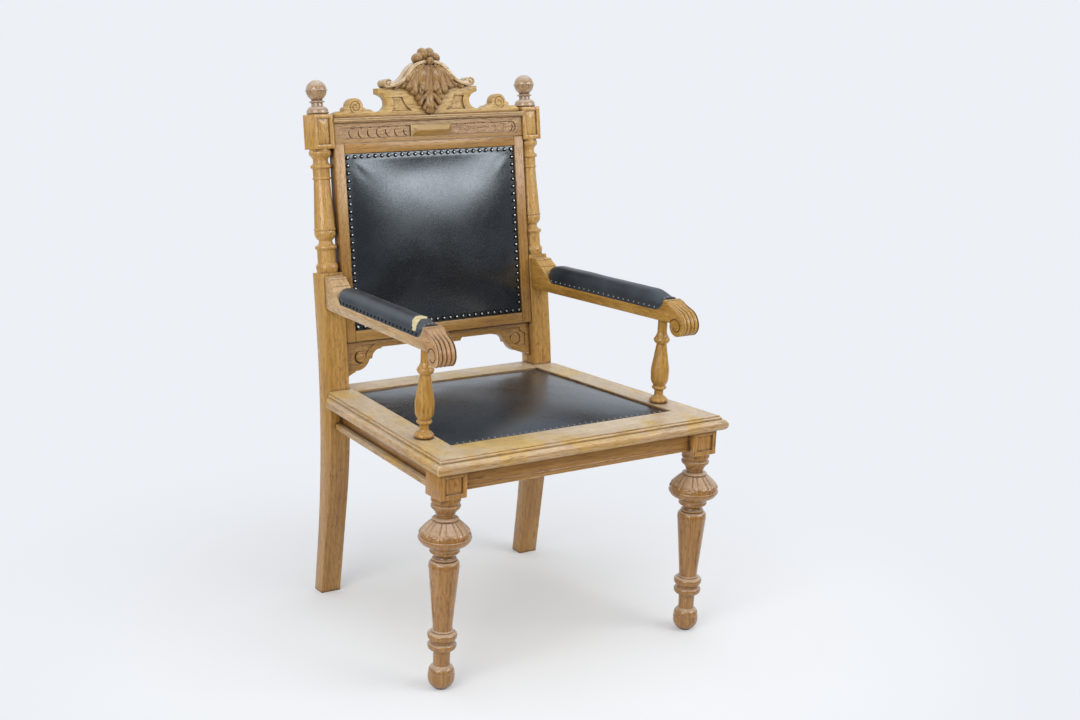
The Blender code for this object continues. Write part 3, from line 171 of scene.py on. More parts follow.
# Arms
ARM_HALF = 0.020
ARM_TAPER = 0.0617
ARM_REAR_Y = 0.5201
ARM_UNDER_FRONT = 0.6346
ARM_UNDER_REAR = 0.6190
ARM_SEAT_FRONT = 0.6533
ARM_SEAT_REAR = 0.6417
ARM_HEEL_TOP = 0.6843
ARM_PAD_FRONT_Y = 0.1114
ARM_HEEL_Y = 0.4503
ARM_PAD_REAR_Y = 0.4740
ARM_PAD_HEIGHT = 0.034
SCROLL_Y = 0.0486
SCROLL_Z = 0.6305
SCROLL_INNER_R = 0.0185
SCROLL_OUTER_R = 0.0240
ARM_SUPPORT_Y = 0.110
SUPPORT_FOOT = 0.0190
REEDS = 4
REED_RIM = 0.0014
REED_DEPTH = 0.0038
PAD_LAP_RUN = 0.046
PAD_END_ROUND = 0.034
PAD_END_FALL = 0.040
SCROLL_LINE_R = 0.0017
ARM_KINK = ARM_REAR_Y - 0.03
ARM_BROW = ARM_SEAT_FRONT + 0.0219
LAP_FRONT = SCROLL_Y + 0.0425
PLUMP_RIGHT = 0.0040

# Nails: pitches and numbers, then radius, height and sides of each kind of head
NAIL_PITCH = 0.0160
NAIL_BORDER = 0.0065
SEAT_TACK_PITCH = 0.0140
ARM_TACKS = 22
BROW_NAILS = 4
DOME_HEAD = (0.0047, 0.0032, 14)
TACK_HEAD = (0.0026, 0.0018, 12)
BLACK_HEAD = (0.0032, 0.0018, 10)
BRIGHT_HEAD = (0.0022, 0.0014, 10)

# Photograph: 1080 x 720, camera solved from the seat frame and the posts
PHOTO_WIDTH = 1080
FOCAL_PIXELS = 1782.5
CAMERA_SPOT = (-1.9156, -2.6365, 1.4376)
CAMERA_TURN = math.radians(-34.6095)
CAMERA_PITCH = math.radians(14.4188)
CAMERA_ROLL = math.radians(2.3197)

LEAN = math.atan(LEAN_SLOPE)
POST_INNER = POST_X - POST_HALF
POST_OUTER = POST_X + POST_HALF
BACK_HALF = POST_INNER - FIT
OPENING_HALF = BACK_HALF - STILE_WIDTH
BACK_REAR = BACK_SETBACK + BACK_THICK
BACK_FACE = BACK_SETBACK + BACK_EDGE
CREST_END = POST_INNER - 0.003
VOLUTE_X = CREST_END - 0.0525
VOLUTE_K = 0.0217
VOLUTE_R = 0.0166
SIDES = (("left", -1), ("right", 1))
low_corner, high_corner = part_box("front_leg_left")
HOME = Matrix.Translation((0, (low_corner[1] + high_corner[1]) / 2, 0))
SEAT = Matrix.Identity(4)
SEAT[2][1] = -SEAT_FALL
SEAT[2][3] = SEAT_HEIGHT
BACK = Matrix.Translation((0, KNEE_Y, KNEE_Z)) @ Matrix.Rotation(-LEAN, 4, 'X')
CREST = BACK @ Matrix.Translation((0, 0, CREST_LOW))


# Lines and outlines

def arc(start, end, sagitta, turn=9):
    """Points after start on the arc to end; a positive sagitta swells to the left of the chord."""
    a = Vector(start)
    b = Vector(end)
    half = (b - a).length / 2
    along = (b - a).normalized()
    normal = Vector((-along.y, along.x))
    radius = (half ** 2 + sagitta ** 2) / (2 * abs(sagitta))
    side = math.copysign(1, sagitta)
    centre = (a + b) / 2 + normal * (sagitta - side * radius)
    sweep = 2 * math.atan2(abs(sagitta), half)
    steps = max(3, math.ceil(2 * math.degrees(sweep) / turn))
    points = []
    for i in range(1, steps + 1):
        angle = -sweep + 2 * sweep * i / steps
        spot = centre + normal * (side * radius * math.cos(angle)) + along * (radius * math.sin(angle))
        points.append(tuple(spot))
    return points


def path(stations):
    """A run of points; a station's third value is the sagitta of the arc that leads to it."""
    points = [tuple(stations[0][:2])]
    for station in stations[1:]:
        if len(station) == 3:
            points += arc(points[-1], station[:2], station[2])
        else:
            points.append(tuple(station))
    return points


def bend(start, corner, end, steps=16):
    """Points after start on the parabola that rounds a corner."""
    points = []
    for i in range(1, steps + 1):
        t = i / steps
        weights = ((1 - t) ** 2, 2 * t * (1 - t), t * t)
        points.append(tuple(sum(w * p[k] for w, p in zip(weights, (start, corner, end))) for k in (0, 1)))
    return points


def swept(centre, radii, first, last, steps):
    """Points on an oval about a centre, from one angle to another in degrees."""
    angles = [math.radians(first + (last - first) * i / steps) for i in range(steps + 1)]
    return [(centre[0] + radii[0] * math.cos(a), centre[1] + radii[1] * math.sin(a)) for a in angles]


def full_turn(sides):
    """Angles round a full turn."""
    return [2 * math.pi * i / sides for i in range(sides)]


def moved(stations, first, second=0.0):
    """Stations of a path with their two places shifted."""
    return [(s[0] + first, s[1] + second) + tuple(s[2:]) for s in stations]


def flipped(outline, side):
    """An outline drawn for the right-hand side, as it is on the given side."""
    return [(side * x, y) for x, y in outline]


def headings(points):
    """The direction of travel at each point of an open run."""
    ends = points[:1] + points + points[-1:]
    return [(Vector(b) - Vector(a)).normalized() for a, b in zip(ends, ends[2:])]


def offset(points, distance):
    """The points of an open run moved to the left of their direction of travel."""
    return [(x - along.y * distance, y + along.x * distance) for (x, y), along in zip(points, headings(points))]


def mirrored(half):
    """A closed outline from its right half, which runs from one end on x = 0 to the other."""
    return half + [(-x, y) for x, y in reversed(half) if x > FIT]


def apart(outline):
    """The outline without points that repeat."""
    kept = []
    for point in outline:
        if not kept or math.dist(point, kept[-1]) > 1e-6:
            kept.append(point)
    if math.dist(kept[0], kept[-1]) < 1e-6:
        kept.pop()
    return kept


def inset(outline, distance):
    """A closed outline drawn in by a distance all round."""
    count = len(outline)
    area = sum(outline[i - 1][0] * outline[i][1] - outline[i][0] * outline[i - 1][1] for i in range(count))
    turn = math.copysign(1, area)
    drawn = []
    for i in range(count):
        before = (Vector(outline[i]) - Vector(outline[i - 1])).normalized()
        after = (Vector(outline[(i + 1) % count]) - Vector(outline[i])).normalized()
        first = Vector((-before.y, before.x)) * turn
        second = Vector((-after.y, after.x)) * turn
        middle = (first + second).normalized() if (first + second).length > 1e-6 else first
        drawn.append(tuple(Vector(outline[i]) + middle * (distance / max(0.4, middle.dot(first)))))
    return drawn


def rounded(first, second, radius, steps=3):
    """A rectangle from two pairs of limits, with rounded corners."""
    points = []
    corners = ((first[1], second[1], 0), (first[0], second[1], 1), (first[0], second[0], 2), (first[1], second[0], 3))
    for x, y, quarter in corners:
        centre_x = x - radius if quarter in (0, 3) else x + radius
        centre_y = y - radius if quarter in (0, 1) else y + radius
        for i in range(steps + 1):
            angle = math.pi / 2 * (quarter + i / steps)
            points.append((centre_x + radius * math.cos(angle), centre_y + radius * math.sin(angle)))
    return points


def smooth(value):
    """A soft step from 0 to 1."""
    value = min(1.0, max(0.0, value))
    return value * value * (3 - 2 * value)


def dome(place):
    """Height of a unit dome at a place from -1 to 1, and 0 beyond."""
    return math.sqrt(max(0.0, 1 - place ** 2))


def swelling(away, width):
    """A soft swelling: 1 where away is 0, fading over a width."""
    return math.exp(-(away / width) ** 2)


# Bodies

def loft(loops):
    """A closed body through loops that have the same number of points."""
    bm = bmesh.new()
    rings = [[bm.verts.new(point) for point in loop] for loop in loops]
    for low, high in zip(rings, rings[1:]):
        for i in range(len(low)):
            j = (i + 1) % len(low)
            bm.faces.new((low[i], low[j], high[j], high[i]))
    bm.faces.new(rings[0])
    bm.faces.new(rings[-1])
    bmesh.ops.remove_doubles(bm, verts=bm.verts, dist=1e-6)
    return bm


def levelled(outline, level, axis):
    """A flat outline as a loop at a level on one axis."""
    return [tuple(p[:axis]) + (level,) + tuple(p[axis:]) for p in outline]


def prism(outline, low, high, axis):
    """An outline pushed along one axis, with sharp rims."""
    return loft([levelled(outline, low, axis), levelled(outline, high, axis)])


def board(outline, low, high, axis, ease=EASE):
    """An outline pushed along one axis, with its two rims eased."""
    outline = apart(outline)
    steps = ((low, ease), (low + ease * 0.3, ease * 0.3), (low + ease, 0), (high - ease, 0),
             (high - ease * 0.3, ease * 0.3), (high, ease))
    return loft([levelled(inset(outline, by) if by else outline, level, axis) for level, by in steps])


def beam(axis, ends, first, second, ease=EASE):
    """A straight bar with eased arrises; first and second are limits on the next two axes."""
    return board(rounded(first, second, ease), ends[0], ends[1], axis, ease)


def panelled(first, second, front, rear, margin=PANEL_MARGIN, depth=PANEL_DEPTH, ease=EASE):
    """A block with a sunk panel and hipped field on its face towards -Y."""
    reach = min(first[1] - first[0], second[1] - second[0]) / 2 - 0.0008
    steps = ((rear, ease), (rear - ease, 0), (front + ease, 0), (front + ease * 0.3, ease * 0.3), (front, ease),
             (front, margin - 0.0008), (front + 0.0003, margin), (front + depth, margin + 0.0002),
             (front + depth, margin + 0.0018), (front + depth * 0.25, reach))
    loops = []
    for level, by in steps:
        outline = rounded((first[0] + by, first[1] - by), (second[0] + by, second[1] - by), 0.0006)
        loops.append(levelled(outline, level, 1))
    return loft(loops)


def turned(stations, sides=64, carving=None, spacing=None):
    """A body turned about Z; carving gives what is added to the radius at a height and angle."""
    line = path(stations)
    if spacing:
        filled = [line[0]]
        for a, b in zip(line, line[1:]):
            count = max(1, math.ceil(math.dist(a, b) / spacing(a[0])))
            for i in range(1, count + 1):
                filled.append((a[0] + (b[0] - a[0]) * i / count, a[1] + (b[1] - a[1]) * i / count))
        line = filled
    loops = []
    for z, radius in line:
        ring = []
        for angle in full_turn(sides):
            r = radius + (carving(z, angle, radius) if carving else 0)
            ring.append((r * math.cos(angle), r * math.sin(angle), z))
        loops.append(ring)
    return loft(loops)


def tube(points, radius, sides=8):
    """A round rod along points that lie in a plane across x."""
    loops = []
    for point, along in zip(points, headings(points)):
        out = along.cross(Vector((1, 0, 0))).normalized()
        up = along.cross(out)
        loops.append([tuple(Vector(point) + (out * math.cos(a) + up * math.sin(a)) * radius)
                      for a in full_turn(sides)])
    return loft(loops)


def lobe(centre, radii, angle=0.0, sides=28, rings=18):
    """A swelling lobe in the back plane, turned by angle about the depth axis."""
    bm = bmesh.new()
    bmesh.ops.create_uvsphere(bm, u_segments=sides, v_segments=rings, radius=1.0)
    shape = Matrix.Diagonal((radii[0], radii[1], radii[2], 1))
    bm.transform(Matrix.Translation(centre) @ Matrix.Rotation(angle, 4, 'Y') @ shape)
    return bm


def loose(name, bm):
    """A body as an object of the scene that is no piece yet."""
    bm.normal_update()
    bmesh.ops.recalc_face_normals(bm, faces=bm.faces)
    mesh = bpy.data.meshes.new(name)
    bm.to_mesh(mesh)
    bm.free()
    made = bpy.data.objects.new(name, mesh)
    bpy.context.collection.objects.link(made)
    return made


def taken(blank):
    """The mesh of a blank with its modifiers done; the blank itself goes."""
    bpy.context.view_layer.update()
    mesh = bpy.data.meshes.new_from_object(blank.evaluated_get(bpy.context.evaluated_depsgraph_get()))
    result = bmesh.new()
    result.from_mesh(mesh)
    bpy.data.meshes.remove(mesh)
    discard(blank)
    return result


def discard(blank):
    """Take a blank and its mesh out of the scene."""
    old = blank.data
    bpy.data.objects.remove(blank)
    bpy.data.meshes.remove(old)


def combined(bm, tool, operation):
    """Join a tool to a body or cut it away."""
    first = loose("blank", bm)
    second = loose("tool", tool)
    change = first.modifiers.new("change", 'BOOLEAN')
    change.operation = operation
    change.solver = 'EXACT'
    change.object = second
    result = taken(first)
    discard(second)
    if not result.faces:
        raise RuntimeError("a cut left nothing")
    return result


def melted(bodies, grain, passes):
    """Bodies that run into one another as one carved skin."""
    blank = loose("blank", gathered(bodies))
    skin = blank.modifiers.new("skin", 'REMESH')
    skin.mode = 'VOXEL'
    skin.voxel_size = grain
    ease = blank.modifiers.new("ease", 'SMOOTH')
    ease.factor = 0.5
    ease.iterations = passes
    return taken(blank)


def joined(bm, tool):
    return combined(bm, tool, 'UNION')


def carved(bm, tool):
    return combined(bm, tool, 'DIFFERENCE')


def gathered(bodies):
    """Several bodies as one, each keeping its own skin."""
    whole = bmesh.new()
    for bm in bodies:
        bm.normal_update()
        bmesh.ops.recalc_face_normals(bm, faces=bm.faces)
        mesh = bpy.data.meshes.new("part")
        bm.to_mesh(mesh)
        bm.free()
        whole.from_mesh(mesh)
        bpy.data.meshes.remove(mesh)
    return whole


def shifted(bm, matrix):
    bm.transform(matrix)
    return bm


def piece(name, bm, finish, nodes=(), place=Matrix.Identity(4), angle=PLAIN):
    """One piece of the chair: it rides on the chair and stands for its solids."""
    bm.transform(HOME @ place)
    made = loose(name, bm)
    made.data.shade_smooth()
    made.data.set_sharp_from_angle(angle=math.radians(angle))
    material, slot = finish
    made.data.materials.append(material)
    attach(made, "root")
    if nodes:
        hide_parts(*nodes)
    return made


# Shader building

def feed(tree, socket, value):
    """Give a socket a link or a fixed value."""
    if isinstance(value, bpy.types.NodeSocket):
        tree.links.new(value, socket)
    else:
        socket.default_value = value


def add(tree, kind, inputs=None, **settings):
    """A shader node with its settings and inputs."""
    made = tree.nodes.new("ShaderNode" + kind)
    for key, value in settings.items():
        setattr(made, key, value)
    for key, value in (inputs or {}).items():
        feed(tree, made.inputs[key], value)
    return made


def calc(tree, operation, first, second=0.0):
    made = add(tree, "Math", operation=operation)
    feed(tree, made.inputs[0], first)
    feed(tree, made.inputs[1], second)
    return made.outputs[0]


def times(tree, first, second):
    return calc(tree, 'MULTIPLY', first, second)


def plus(tree, first, second):
    return calc(tree, 'ADD', first, second)


def mixed(tree, factor, first, second, blend='MIX'):
    made = add(tree, "Mix", data_type='RGBA', blend_type=blend)
    feed(tree, made.inputs[0], factor)
    feed(tree, made.inputs[6], first)
    feed(tree, made.inputs[7], second)
    return made.outputs[2]


def tinted(tree, colour, tone):
    """A colour multiplied by a tone."""
    return mixed(tree, 1.0, colour, (*tone, 1), 'MULTIPLY')


def span(tree, value, low, high, to_low=0.0, to_high=1.0):
    """A value taken from one range to another and held inside it."""
    made = add(tree, "MapRange", {"Value": value, "From Min": low, "From Max": high, "To Min": to_low,
                                  "To Max": to_high}, clamp=True)
    return made.outputs[0]


def stretched(tree, vector, scale):
    return add(tree, "Mapping", {"Vector": vector, "Scale": scale}).outputs[0]


def speckle(tree, vector, scale, detail=2.0, roughness=0.5, distortion=0.0):
    made = add(tree, "TexNoise", {"Vector": vector, "Scale": scale, "Detail": detail, "Roughness": roughness,
                                  "Distortion": distortion})
    return made.outputs["Fac"]


def start_group(name, inputs, outputs):
    """A node group with named sockets: its tree, what it is given and what it gives."""
    tree = bpy.data.node_groups.new(name, 'ShaderNodeTree')
    for label, kind, value in inputs:
        socket = tree.interface.new_socket(label, in_out='INPUT', socket_type="NodeSocket" + kind)
        if value is not None:
            socket.default_value = value
    for label, kind in outputs:
        tree.interface.new_socket(label, in_out='OUTPUT', socket_type="NodeSocket" + kind)
    return tree, tree.nodes.new("NodeGroupInput").outputs, tree.nodes.new("NodeGroupOutput").inputs


def placed(tree, group, inputs):
    """A node group put to use in a tree."""
    made = tree.nodes.new("ShaderNodeGroup")
    made.node_tree = group
    for key, value in inputs.items():
        feed(tree, made.inputs[key], value)
    return made.outputs


def oak_grain_group():
    """Oak with its grain along Z: growth rings, fine lines, open pores, ray flecks and broad streaks."""
    tree, given, out = start_group("oak grain", [
        ("Place", "Vector", None), ("Pale", "Color", (0.5, 0.3, 0.1, 1)), ("Deep", "Color", (0.3, 0.15, 0.05, 1)),
        ("Streaks", "Float", 0.5)], [("Color", "Color"), ("Height", "Float"), ("Gloss", "Float")])
    place = given["Place"]
    sway = speckle(tree, stretched(tree, place, (1, 1, 0.30)), 9.0, 2.0)
    warped = add(tree, "VectorMath", operation='MULTIPLY_ADD')
    feed(tree, warped.inputs[0], add(tree, "CombineXYZ", {"X": sway, "Y": sway}).outputs[0])
    warped.inputs[1].default_value = (0.020, 0.020, 0)
    feed(tree, warped.inputs[2], place)
    place = warped.outputs[0]
    rings = add(tree, "TexWave", {"Vector": stretched(tree, place, (1, 0.6, 0.07)), "Scale": 30.0, "Distortion": 6.0,
                                  "Detail": 2.0, "Detail Scale": 1.4}, wave_profile='SAW').outputs["Fac"]
    lines = speckle(tree, stretched(tree, place, (1, 1, 0.070)), 300.0, 4.0, 0.62)
    broad = speckle(tree, stretched(tree, place, (1, 1, 0.12)), 26.0, 3.0, 0.55)
    pores = speckle(tree, stretched(tree, place, (1, 1, 0.090)), 640.0, 1.0)
    flecks = speckle(tree, stretched(tree, place, (1, 1, 0.30)), 170.0, 1.5)
    tone = plus(tree, times(tree, lines, 0.62), times(tree, broad, given["Streaks"]))
    tone = plus(tree, tone, times(tree, rings, 0.14))
    colour = mixed(tree, span(tree, tone, 0.42, 0.82), given["Deep"], given["Pale"])
    fleck = span(tree, flecks, 0.64, 0.74, 0.0, 0.35)
    colour = mixed(tree, fleck, colour, tinted(tree, colour, (1.30, 1.25, 1.15)))
    pore = span(tree, pores, 0.56, 0.68)
    dark = tinted(tree, colour, (0.42, 0.36, 0.30))
    colour = mixed(tree, times(tree, pore, 0.75), colour, dark)
    feed(tree, out["Color"], colour)
    feed(tree, out["Height"], calc(tree, 'SUBTRACT', times(tree, lines, 0.5), times(tree, pore, 0.8)))
    feed(tree, out["Gloss"], plus(tree, times(tree, broad, 0.6), times(tree, pore, 0.5)))
    return tree


def age_group():
    """Old wax and dust left in recesses, with painted shade where parts close in; arrises worn pale, with a painted
    highlight on them; upper faces lightened as a painted highlight.
    """
    tree, given, out = start_group("age", [
        ("Color", "Color", (0.5, 0.3, 0.1, 1)), ("Dirt And Shade", "Color", (0.070, 0.028, 0.011, 1)),
        ("Dirt And Shade Amount", "Float", 0.8), ("Reach", "Float", 0.010), ("Wear And Highlight", "Color", (0.6, 0.42, 0.22, 1)),
        ("Wear And Highlight Amount", "Float", 0.5), ("Top Highlight Amount", "Float", 0.3), ("Place", "Vector", None)],
        [("Color", "Color"), ("Recess", "Float")])
    patches = speckle(tree, given["Place"], 38.0, 4.0, 0.6)
    # Recess mask from occlusion, neighbouring parts included: dust and wax in hollows, and painted shade between parts
    shut = add(tree, "AmbientOcclusion", {"Distance": given["Reach"]}, samples=8)
    recess = calc(tree, 'SUBTRACT', 1.0, shut.outputs["AO"])
    recess = times(tree, span(tree, recess, 0.14, 0.60), span(tree, patches, 0.15, 0.60, 0.60, 1.0))
    # Arrises lightened: real wear, and a painted highlight along the edges
    edge = add(tree, "AmbientOcclusion", {"Distance": 0.0022}, samples=6, inside=True, only_local=True)
    worn = span(tree, calc(tree, 'SUBTRACT', 1.0, edge.outputs["AO"]), 0.30, 0.75)
    worn = times(tree, worn, span(tree, patches, 0.38, 0.62))
    colour = mixed(tree, times(tree, worn, given["Wear And Highlight Amount"]), given["Color"], given["Wear And Highlight"])
    # Faces turned upward lightened and blued: a painted highlight from the light above
    upward = add(tree, "SeparateXYZ", {"Vector": add(tree, "NewGeometry").outputs["Normal"]}).outputs["Z"]
    bleach = times(tree, span(tree, upward, 0.45, 0.95), span(tree, patches, 0.25, 0.65, 0.55, 1.0))
    highlight_colour = mixed(tree, 0.45, tinted(tree, colour, (1.35, 1.55, 2.0)), given["Wear And Highlight"])
    colour = mixed(tree, times(tree, bleach, given["Top Highlight Amount"]), colour, highlight_colour)
    # Recesses darkened: grime in hollows, and painted shade where parts close in
    colour = mixed(tree, times(tree, recess, given["Dirt And Shade Amount"]), colour, given["Dirt And Shade"])
    feed(tree, out["Color"], colour)
    feed(tree, out["Recess"], recess)
    return tree


def hide_group():
    """Upholstery leather: pebbled grain, soft creases, fine mottling and duller patches."""
    tree, given, out = start_group("hide", [("Place", "Vector", None), ("Grain", "Float", 480.0)],
                                   [("Height", "Float"), ("Mottle", "Float"), ("Dull", "Float")])
    place = given["Place"]
    cells = add(tree, "TexVoronoi", {"Vector": place, "Scale": given["Grain"]}, feature='DISTANCE_TO_EDGE')
    pebbles = span(tree, cells.outputs["Distance"], 0.0, 0.25)
    mottle = speckle(tree, place, 400.0, 2.0, 0.6)
    creases = speckle(tree, stretched(tree, place, (1, 0.6, 1)), 24.0, 2.0, 0.5)
    height = plus(tree, times(tree, pebbles, 0.10), times(tree, mottle, 0.15))
    feed(tree, out["Height"], plus(tree, height, times(tree, creases, 0.22)))
    feed(tree, out["Mottle"], mottle)
    feed(tree, out["Dull"], speckle(tree, place, 11.0, 3.0, 0.6))
    return tree


def punched_group():
    """Ground of a sunk panel matted with a punch: close dots, dusty between them."""
    tree, given, out = start_group("punched ground", [
        ("Place", "Vector", None), ("Color", "Color", (0.5, 0.3, 0.1, 1))], [("Color", "Color"), ("Height", "Float")])
    dots = span(tree, speckle(tree, given["Place"], 330.0, 2.0, 0.6), 0.36, 0.64)
    hollow = tinted(tree, given["Color"], (0.82, 0.78, 0.76))
    dusty = tinted(tree, given["Color"], (1.18, 1.26, 1.58))
    feed(tree, out["Color"], mixed(tree, dots, hollow, dusty))
    feed(tree, out["Height"], dots)
    return tree


def weave_group():
    """Plain weave of two sets of threads, with slubs."""
    tree, given, out = start_group("weave", [("Place", "Vector", None), ("Threads", "Float", 2400.0)],
                                   [("Height", "Float"), ("Shade", "Float")])
    split = add(tree, "SeparateXYZ", {"Vector": given["Place"]})
    down = plus(tree, split.outputs["Y"], split.outputs["Z"])
    first = calc(tree, 'SINE', times(tree, split.outputs["X"], given["Threads"]))
    second = calc(tree, 'SINE', times(tree, down, given["Threads"]))
    feed(tree, out["Height"], times(tree, first, second))
    slubs = speckle(tree, stretched(tree, given["Place"], (1, 0.1, 0.1)), 420.0, 3.0)
    feed(tree, out["Shade"], slubs)
    return tree


OAK_GRAIN = oak_grain_group()
AGE = age_group()
HIDE = hide_group()
PUNCHED = punched_group()
WEAVE = weave_group()
GRAIN_TURNS = {"x": (0, math.pi / 2, 0), "y": (math.pi / 2, 0, 0), "z": (0, 0, 0)}
VARNISH_GOLD = (1.04, 0.92, 0.46)


def start_material(name):
    """A material, its tree, its shader and the place on the object."""
    made = bpy.data.materials.new(name)
    made.use_nodes = True
    tree = made.node_tree
    shader = tree.nodes["Principled BSDF"]
    place = add(tree, "TexCoord").outputs["Object"]
    return made, tree, shader, place


def raise_surface(tree, shader, height, strength, distance):
    """Relief from a height."""
    made = add(tree, "Bump", {"Height": height, "Strength": strength, "Distance": distance})
    tree.links.new(made.outputs[0], shader.inputs["Normal"])


def wood(name, way, pale, deep, streaks=0.5, grime=0.85, reach=0.010, rubbed=(0.66, 0.47, 0.25), rub=0.5, bleach=0.35,
         dull=(0.28, 0.46), coat=0.0, punched=None, shade=None, varnish=0.0):
    """Waxed wood with its grain along one axis; perhaps a punched ground, a darker end, patches of varnish."""
    made, tree, shader, place = start_material(name + "_" + way)
    along = add(tree, "Mapping", {"Vector": place, "Rotation": GRAIN_TURNS[way]}).outputs[0]
    grain = placed(tree, OAK_GRAIN, {"Place": along, "Pale": (*pale, 1), "Deep": (*deep, 1), "Streaks": streaks})
    colour = grain["Color"]
    height = grain["Height"]
    if shade:
        tone, axis, start, end = shade
        along = span(tree, add(tree, "SeparateXYZ", {"Vector": place}).outputs[axis], start, end)
        colour = mixed(tree, along, colour, tinted(tree, colour, tone))
    if punched:
        leaning = HOME @ BACK
        inward = leaning.to_3x3() @ Vector((0, 1, 0))
        deep_in = add(tree, "VectorMath", {0: place, 1: inward}, operation='DOT_PRODUCT').outputs["Value"]
        ground = punched + leaning.translation.dot(inward)
        sunk = span(tree, deep_in, ground - 0.0008, ground - 0.0003)
        sunk = times(tree, sunk, span(tree, deep_in, ground + 0.0004, ground + 0.0012, 1.0, 0.0))
        dotted = placed(tree, PUNCHED, {"Place": place, "Color": colour})
        colour = mixed(tree, sunk, colour, dotted["Color"])
        height = plus(tree, height, times(tree, sunk, dotted["Height"]))
    aged = placed(tree, AGE, {"Color": colour, "Dirt And Shade Amount": grime, "Reach": reach, "Wear And Highlight": (*rubbed, 1),
                              "Wear And Highlight Amount": rub, "Top Highlight Amount": bleach, "Place": place})
    colour = aged["Color"]
    if varnish:
        left = span(tree, speckle(tree, place, 8.0, 4.0, 0.6), 0.50, 0.60, 0.0, varnish)
        colour = mixed(tree, left, colour, tinted(tree, colour, VARNISH_GOLD))
    feed(tree, shader.inputs["Base Color"], colour)
    gloss = span(tree, grain["Gloss"], 0.15, 0.75, dull[0], dull[1])
    feed(tree, shader.inputs["Roughness"], plus(tree, gloss, times(tree, aged["Recess"], 0.2)))
    shader.inputs["Coat Weight"].default_value = coat
    shader.inputs["Coat Roughness"].default_value = 0.14
    raise_surface(tree, shader, height, 0.35, 0.0006)
    return made


def one_way(name, way, slot, **values):
    """A wood for pieces with one direction of grain, and its slot."""
    return wood(name, way, **values), slot


def three_ways(name, slot=None, **values):
    """A wood with its grain along each axis in turn."""
    return {way: one_way(name, way, slot or name, **values) for way in "xyz"}


# In the woods below, the recess share darkens hollows with grime and painted shade; the edge and upward shares paint
# highlights on arrises and on faces turned up
OAK = three_ways("oak", pale=(0.520, 0.290, 0.062), deep=(0.300, 0.142, 0.024), rubbed=(0.62, 0.42, 0.16),
                 dull=(0.24, 0.40), coat=0.25)
OAK_FRAME = three_ways("oak_frame", "oak", pale=(0.430, 0.236, 0.064), deep=(0.250, 0.116, 0.026),
                       rubbed=(0.56, 0.38, 0.15), dull=(0.24, 0.40), coat=0.15)
LOWER_RAIL = one_way("oak_frame_rail", "x", "oak", pale=(0.450, 0.248, 0.068), deep=(0.262, 0.122, 0.028),
                     rubbed=(0.56, 0.38, 0.15), dull=(0.24, 0.40), coat=0.15,
                     punched=LOWER_RAIL_SETBACK + BRACKET_FIELD_DEPTH)
OAK_BALL = one_way("oak_polished", "z", "oak", pale=(0.455, 0.295, 0.160), deep=(0.295, 0.180, 0.092),
                   rubbed=(0.88, 0.82, 0.76), rub=0.8, bleach=0.8, dull=(0.18, 0.30), coat=1.0)
OAK_DARK = three_ways("oak_dark", pale=(0.390, 0.200, 0.052), deep=(0.206, 0.090, 0.020), rubbed=(0.52, 0.34, 0.15),
                      rub=0.6, grime=0.86, reach=0.011, dull=(0.20, 0.36), coat=0.35)
LEG = one_way("oak_dark_leg", "z", "oak_dark", pale=(0.535, 0.290, 0.086), deep=(0.290, 0.136, 0.034),
              rubbed=(0.82, 0.72, 0.62), rub=0.8, grime=0.90, reach=0.011, bleach=1.0, dull=(0.18, 0.32), coat=0.45,
              streaks=0.35, shade=((0.77, 0.73, 0.70), "Z", LEG_BLOCK_BOTTOM + 0.002, LEG_BLOCK_BOTTOM - 0.002))
# The post darkens from the seat down towards the floor: painted shade under the seat
POST = one_way("oak_post", "z", "oak", pale=(0.560, 0.325, 0.090), deep=(0.330, 0.164, 0.036),
               rubbed=(0.62, 0.42, 0.16), dull=(0.24, 0.40), coat=0.25,
               shade=((0.78, 0.72, 0.70), "Z", 0.52, 0.20))
WORN_ARM = one_way("oak_worn_arm", "y", "oak_worn", pale=(0.610, 0.410, 0.205), deep=(0.370, 0.220, 0.094),
                   rubbed=(0.64, 0.46, 0.26), bleach=0.35, dull=(0.24, 0.42), coat=0.2,
                   shade=((0.78, 0.66, 0.58), "Y", HOME.translation.y + ARM_PAD_FRONT_Y,
                          HOME.translation.y + SCROLL_Y + 0.020))
OAK_WORN = three_ways("oak_worn", pale=(0.515, 0.345, 0.178), deep=(0.300, 0.172, 0.072), rubbed=(0.76, 0.66, 0.48),
                      bleach=0.85, dull=(0.28, 0.46), varnish=0.9)
CREST_BOARD = one_way("oak_carved_board", "x", "oak_carved", pale=(0.575, 0.370, 0.115), deep=(0.350, 0.198, 0.054),
                      grime=0.75, reach=0.010, rubbed=(0.66, 0.52, 0.32), bleach=0.6,
                      punched=CREST_FRONT + CREST_PANEL_DEPTH)
CORNICE = one_way("oak_carved_cornice", "x", "oak_carved", pale=(0.560, 0.370, 0.170), deep=(0.350, 0.205, 0.085),
                  grime=0.45, reach=0.006, rubbed=(0.80, 0.66, 0.50), rub=0.8, bleach=1.0)
FRIEZE = one_way("oak_carved_frieze", "x", "oak_carved", pale=(0.450, 0.272, 0.112), deep=(0.275, 0.148, 0.056),
                 grime=0.95, reach=0.010, rubbed=(0.58, 0.44, 0.27), bleach=0.5,
                 punched=FRIEZE_SETBACK + FRIEZE_PANEL_DEPTH)
BOSS = one_way("oak_boss", "x", "oak", pale=(0.420, 0.240, 0.062), deep=(0.270, 0.140, 0.030),
               rubbed=(0.84, 0.74, 0.48), rub=0.6, bleach=1.0, dull=(0.22, 0.36), coat=0.2)
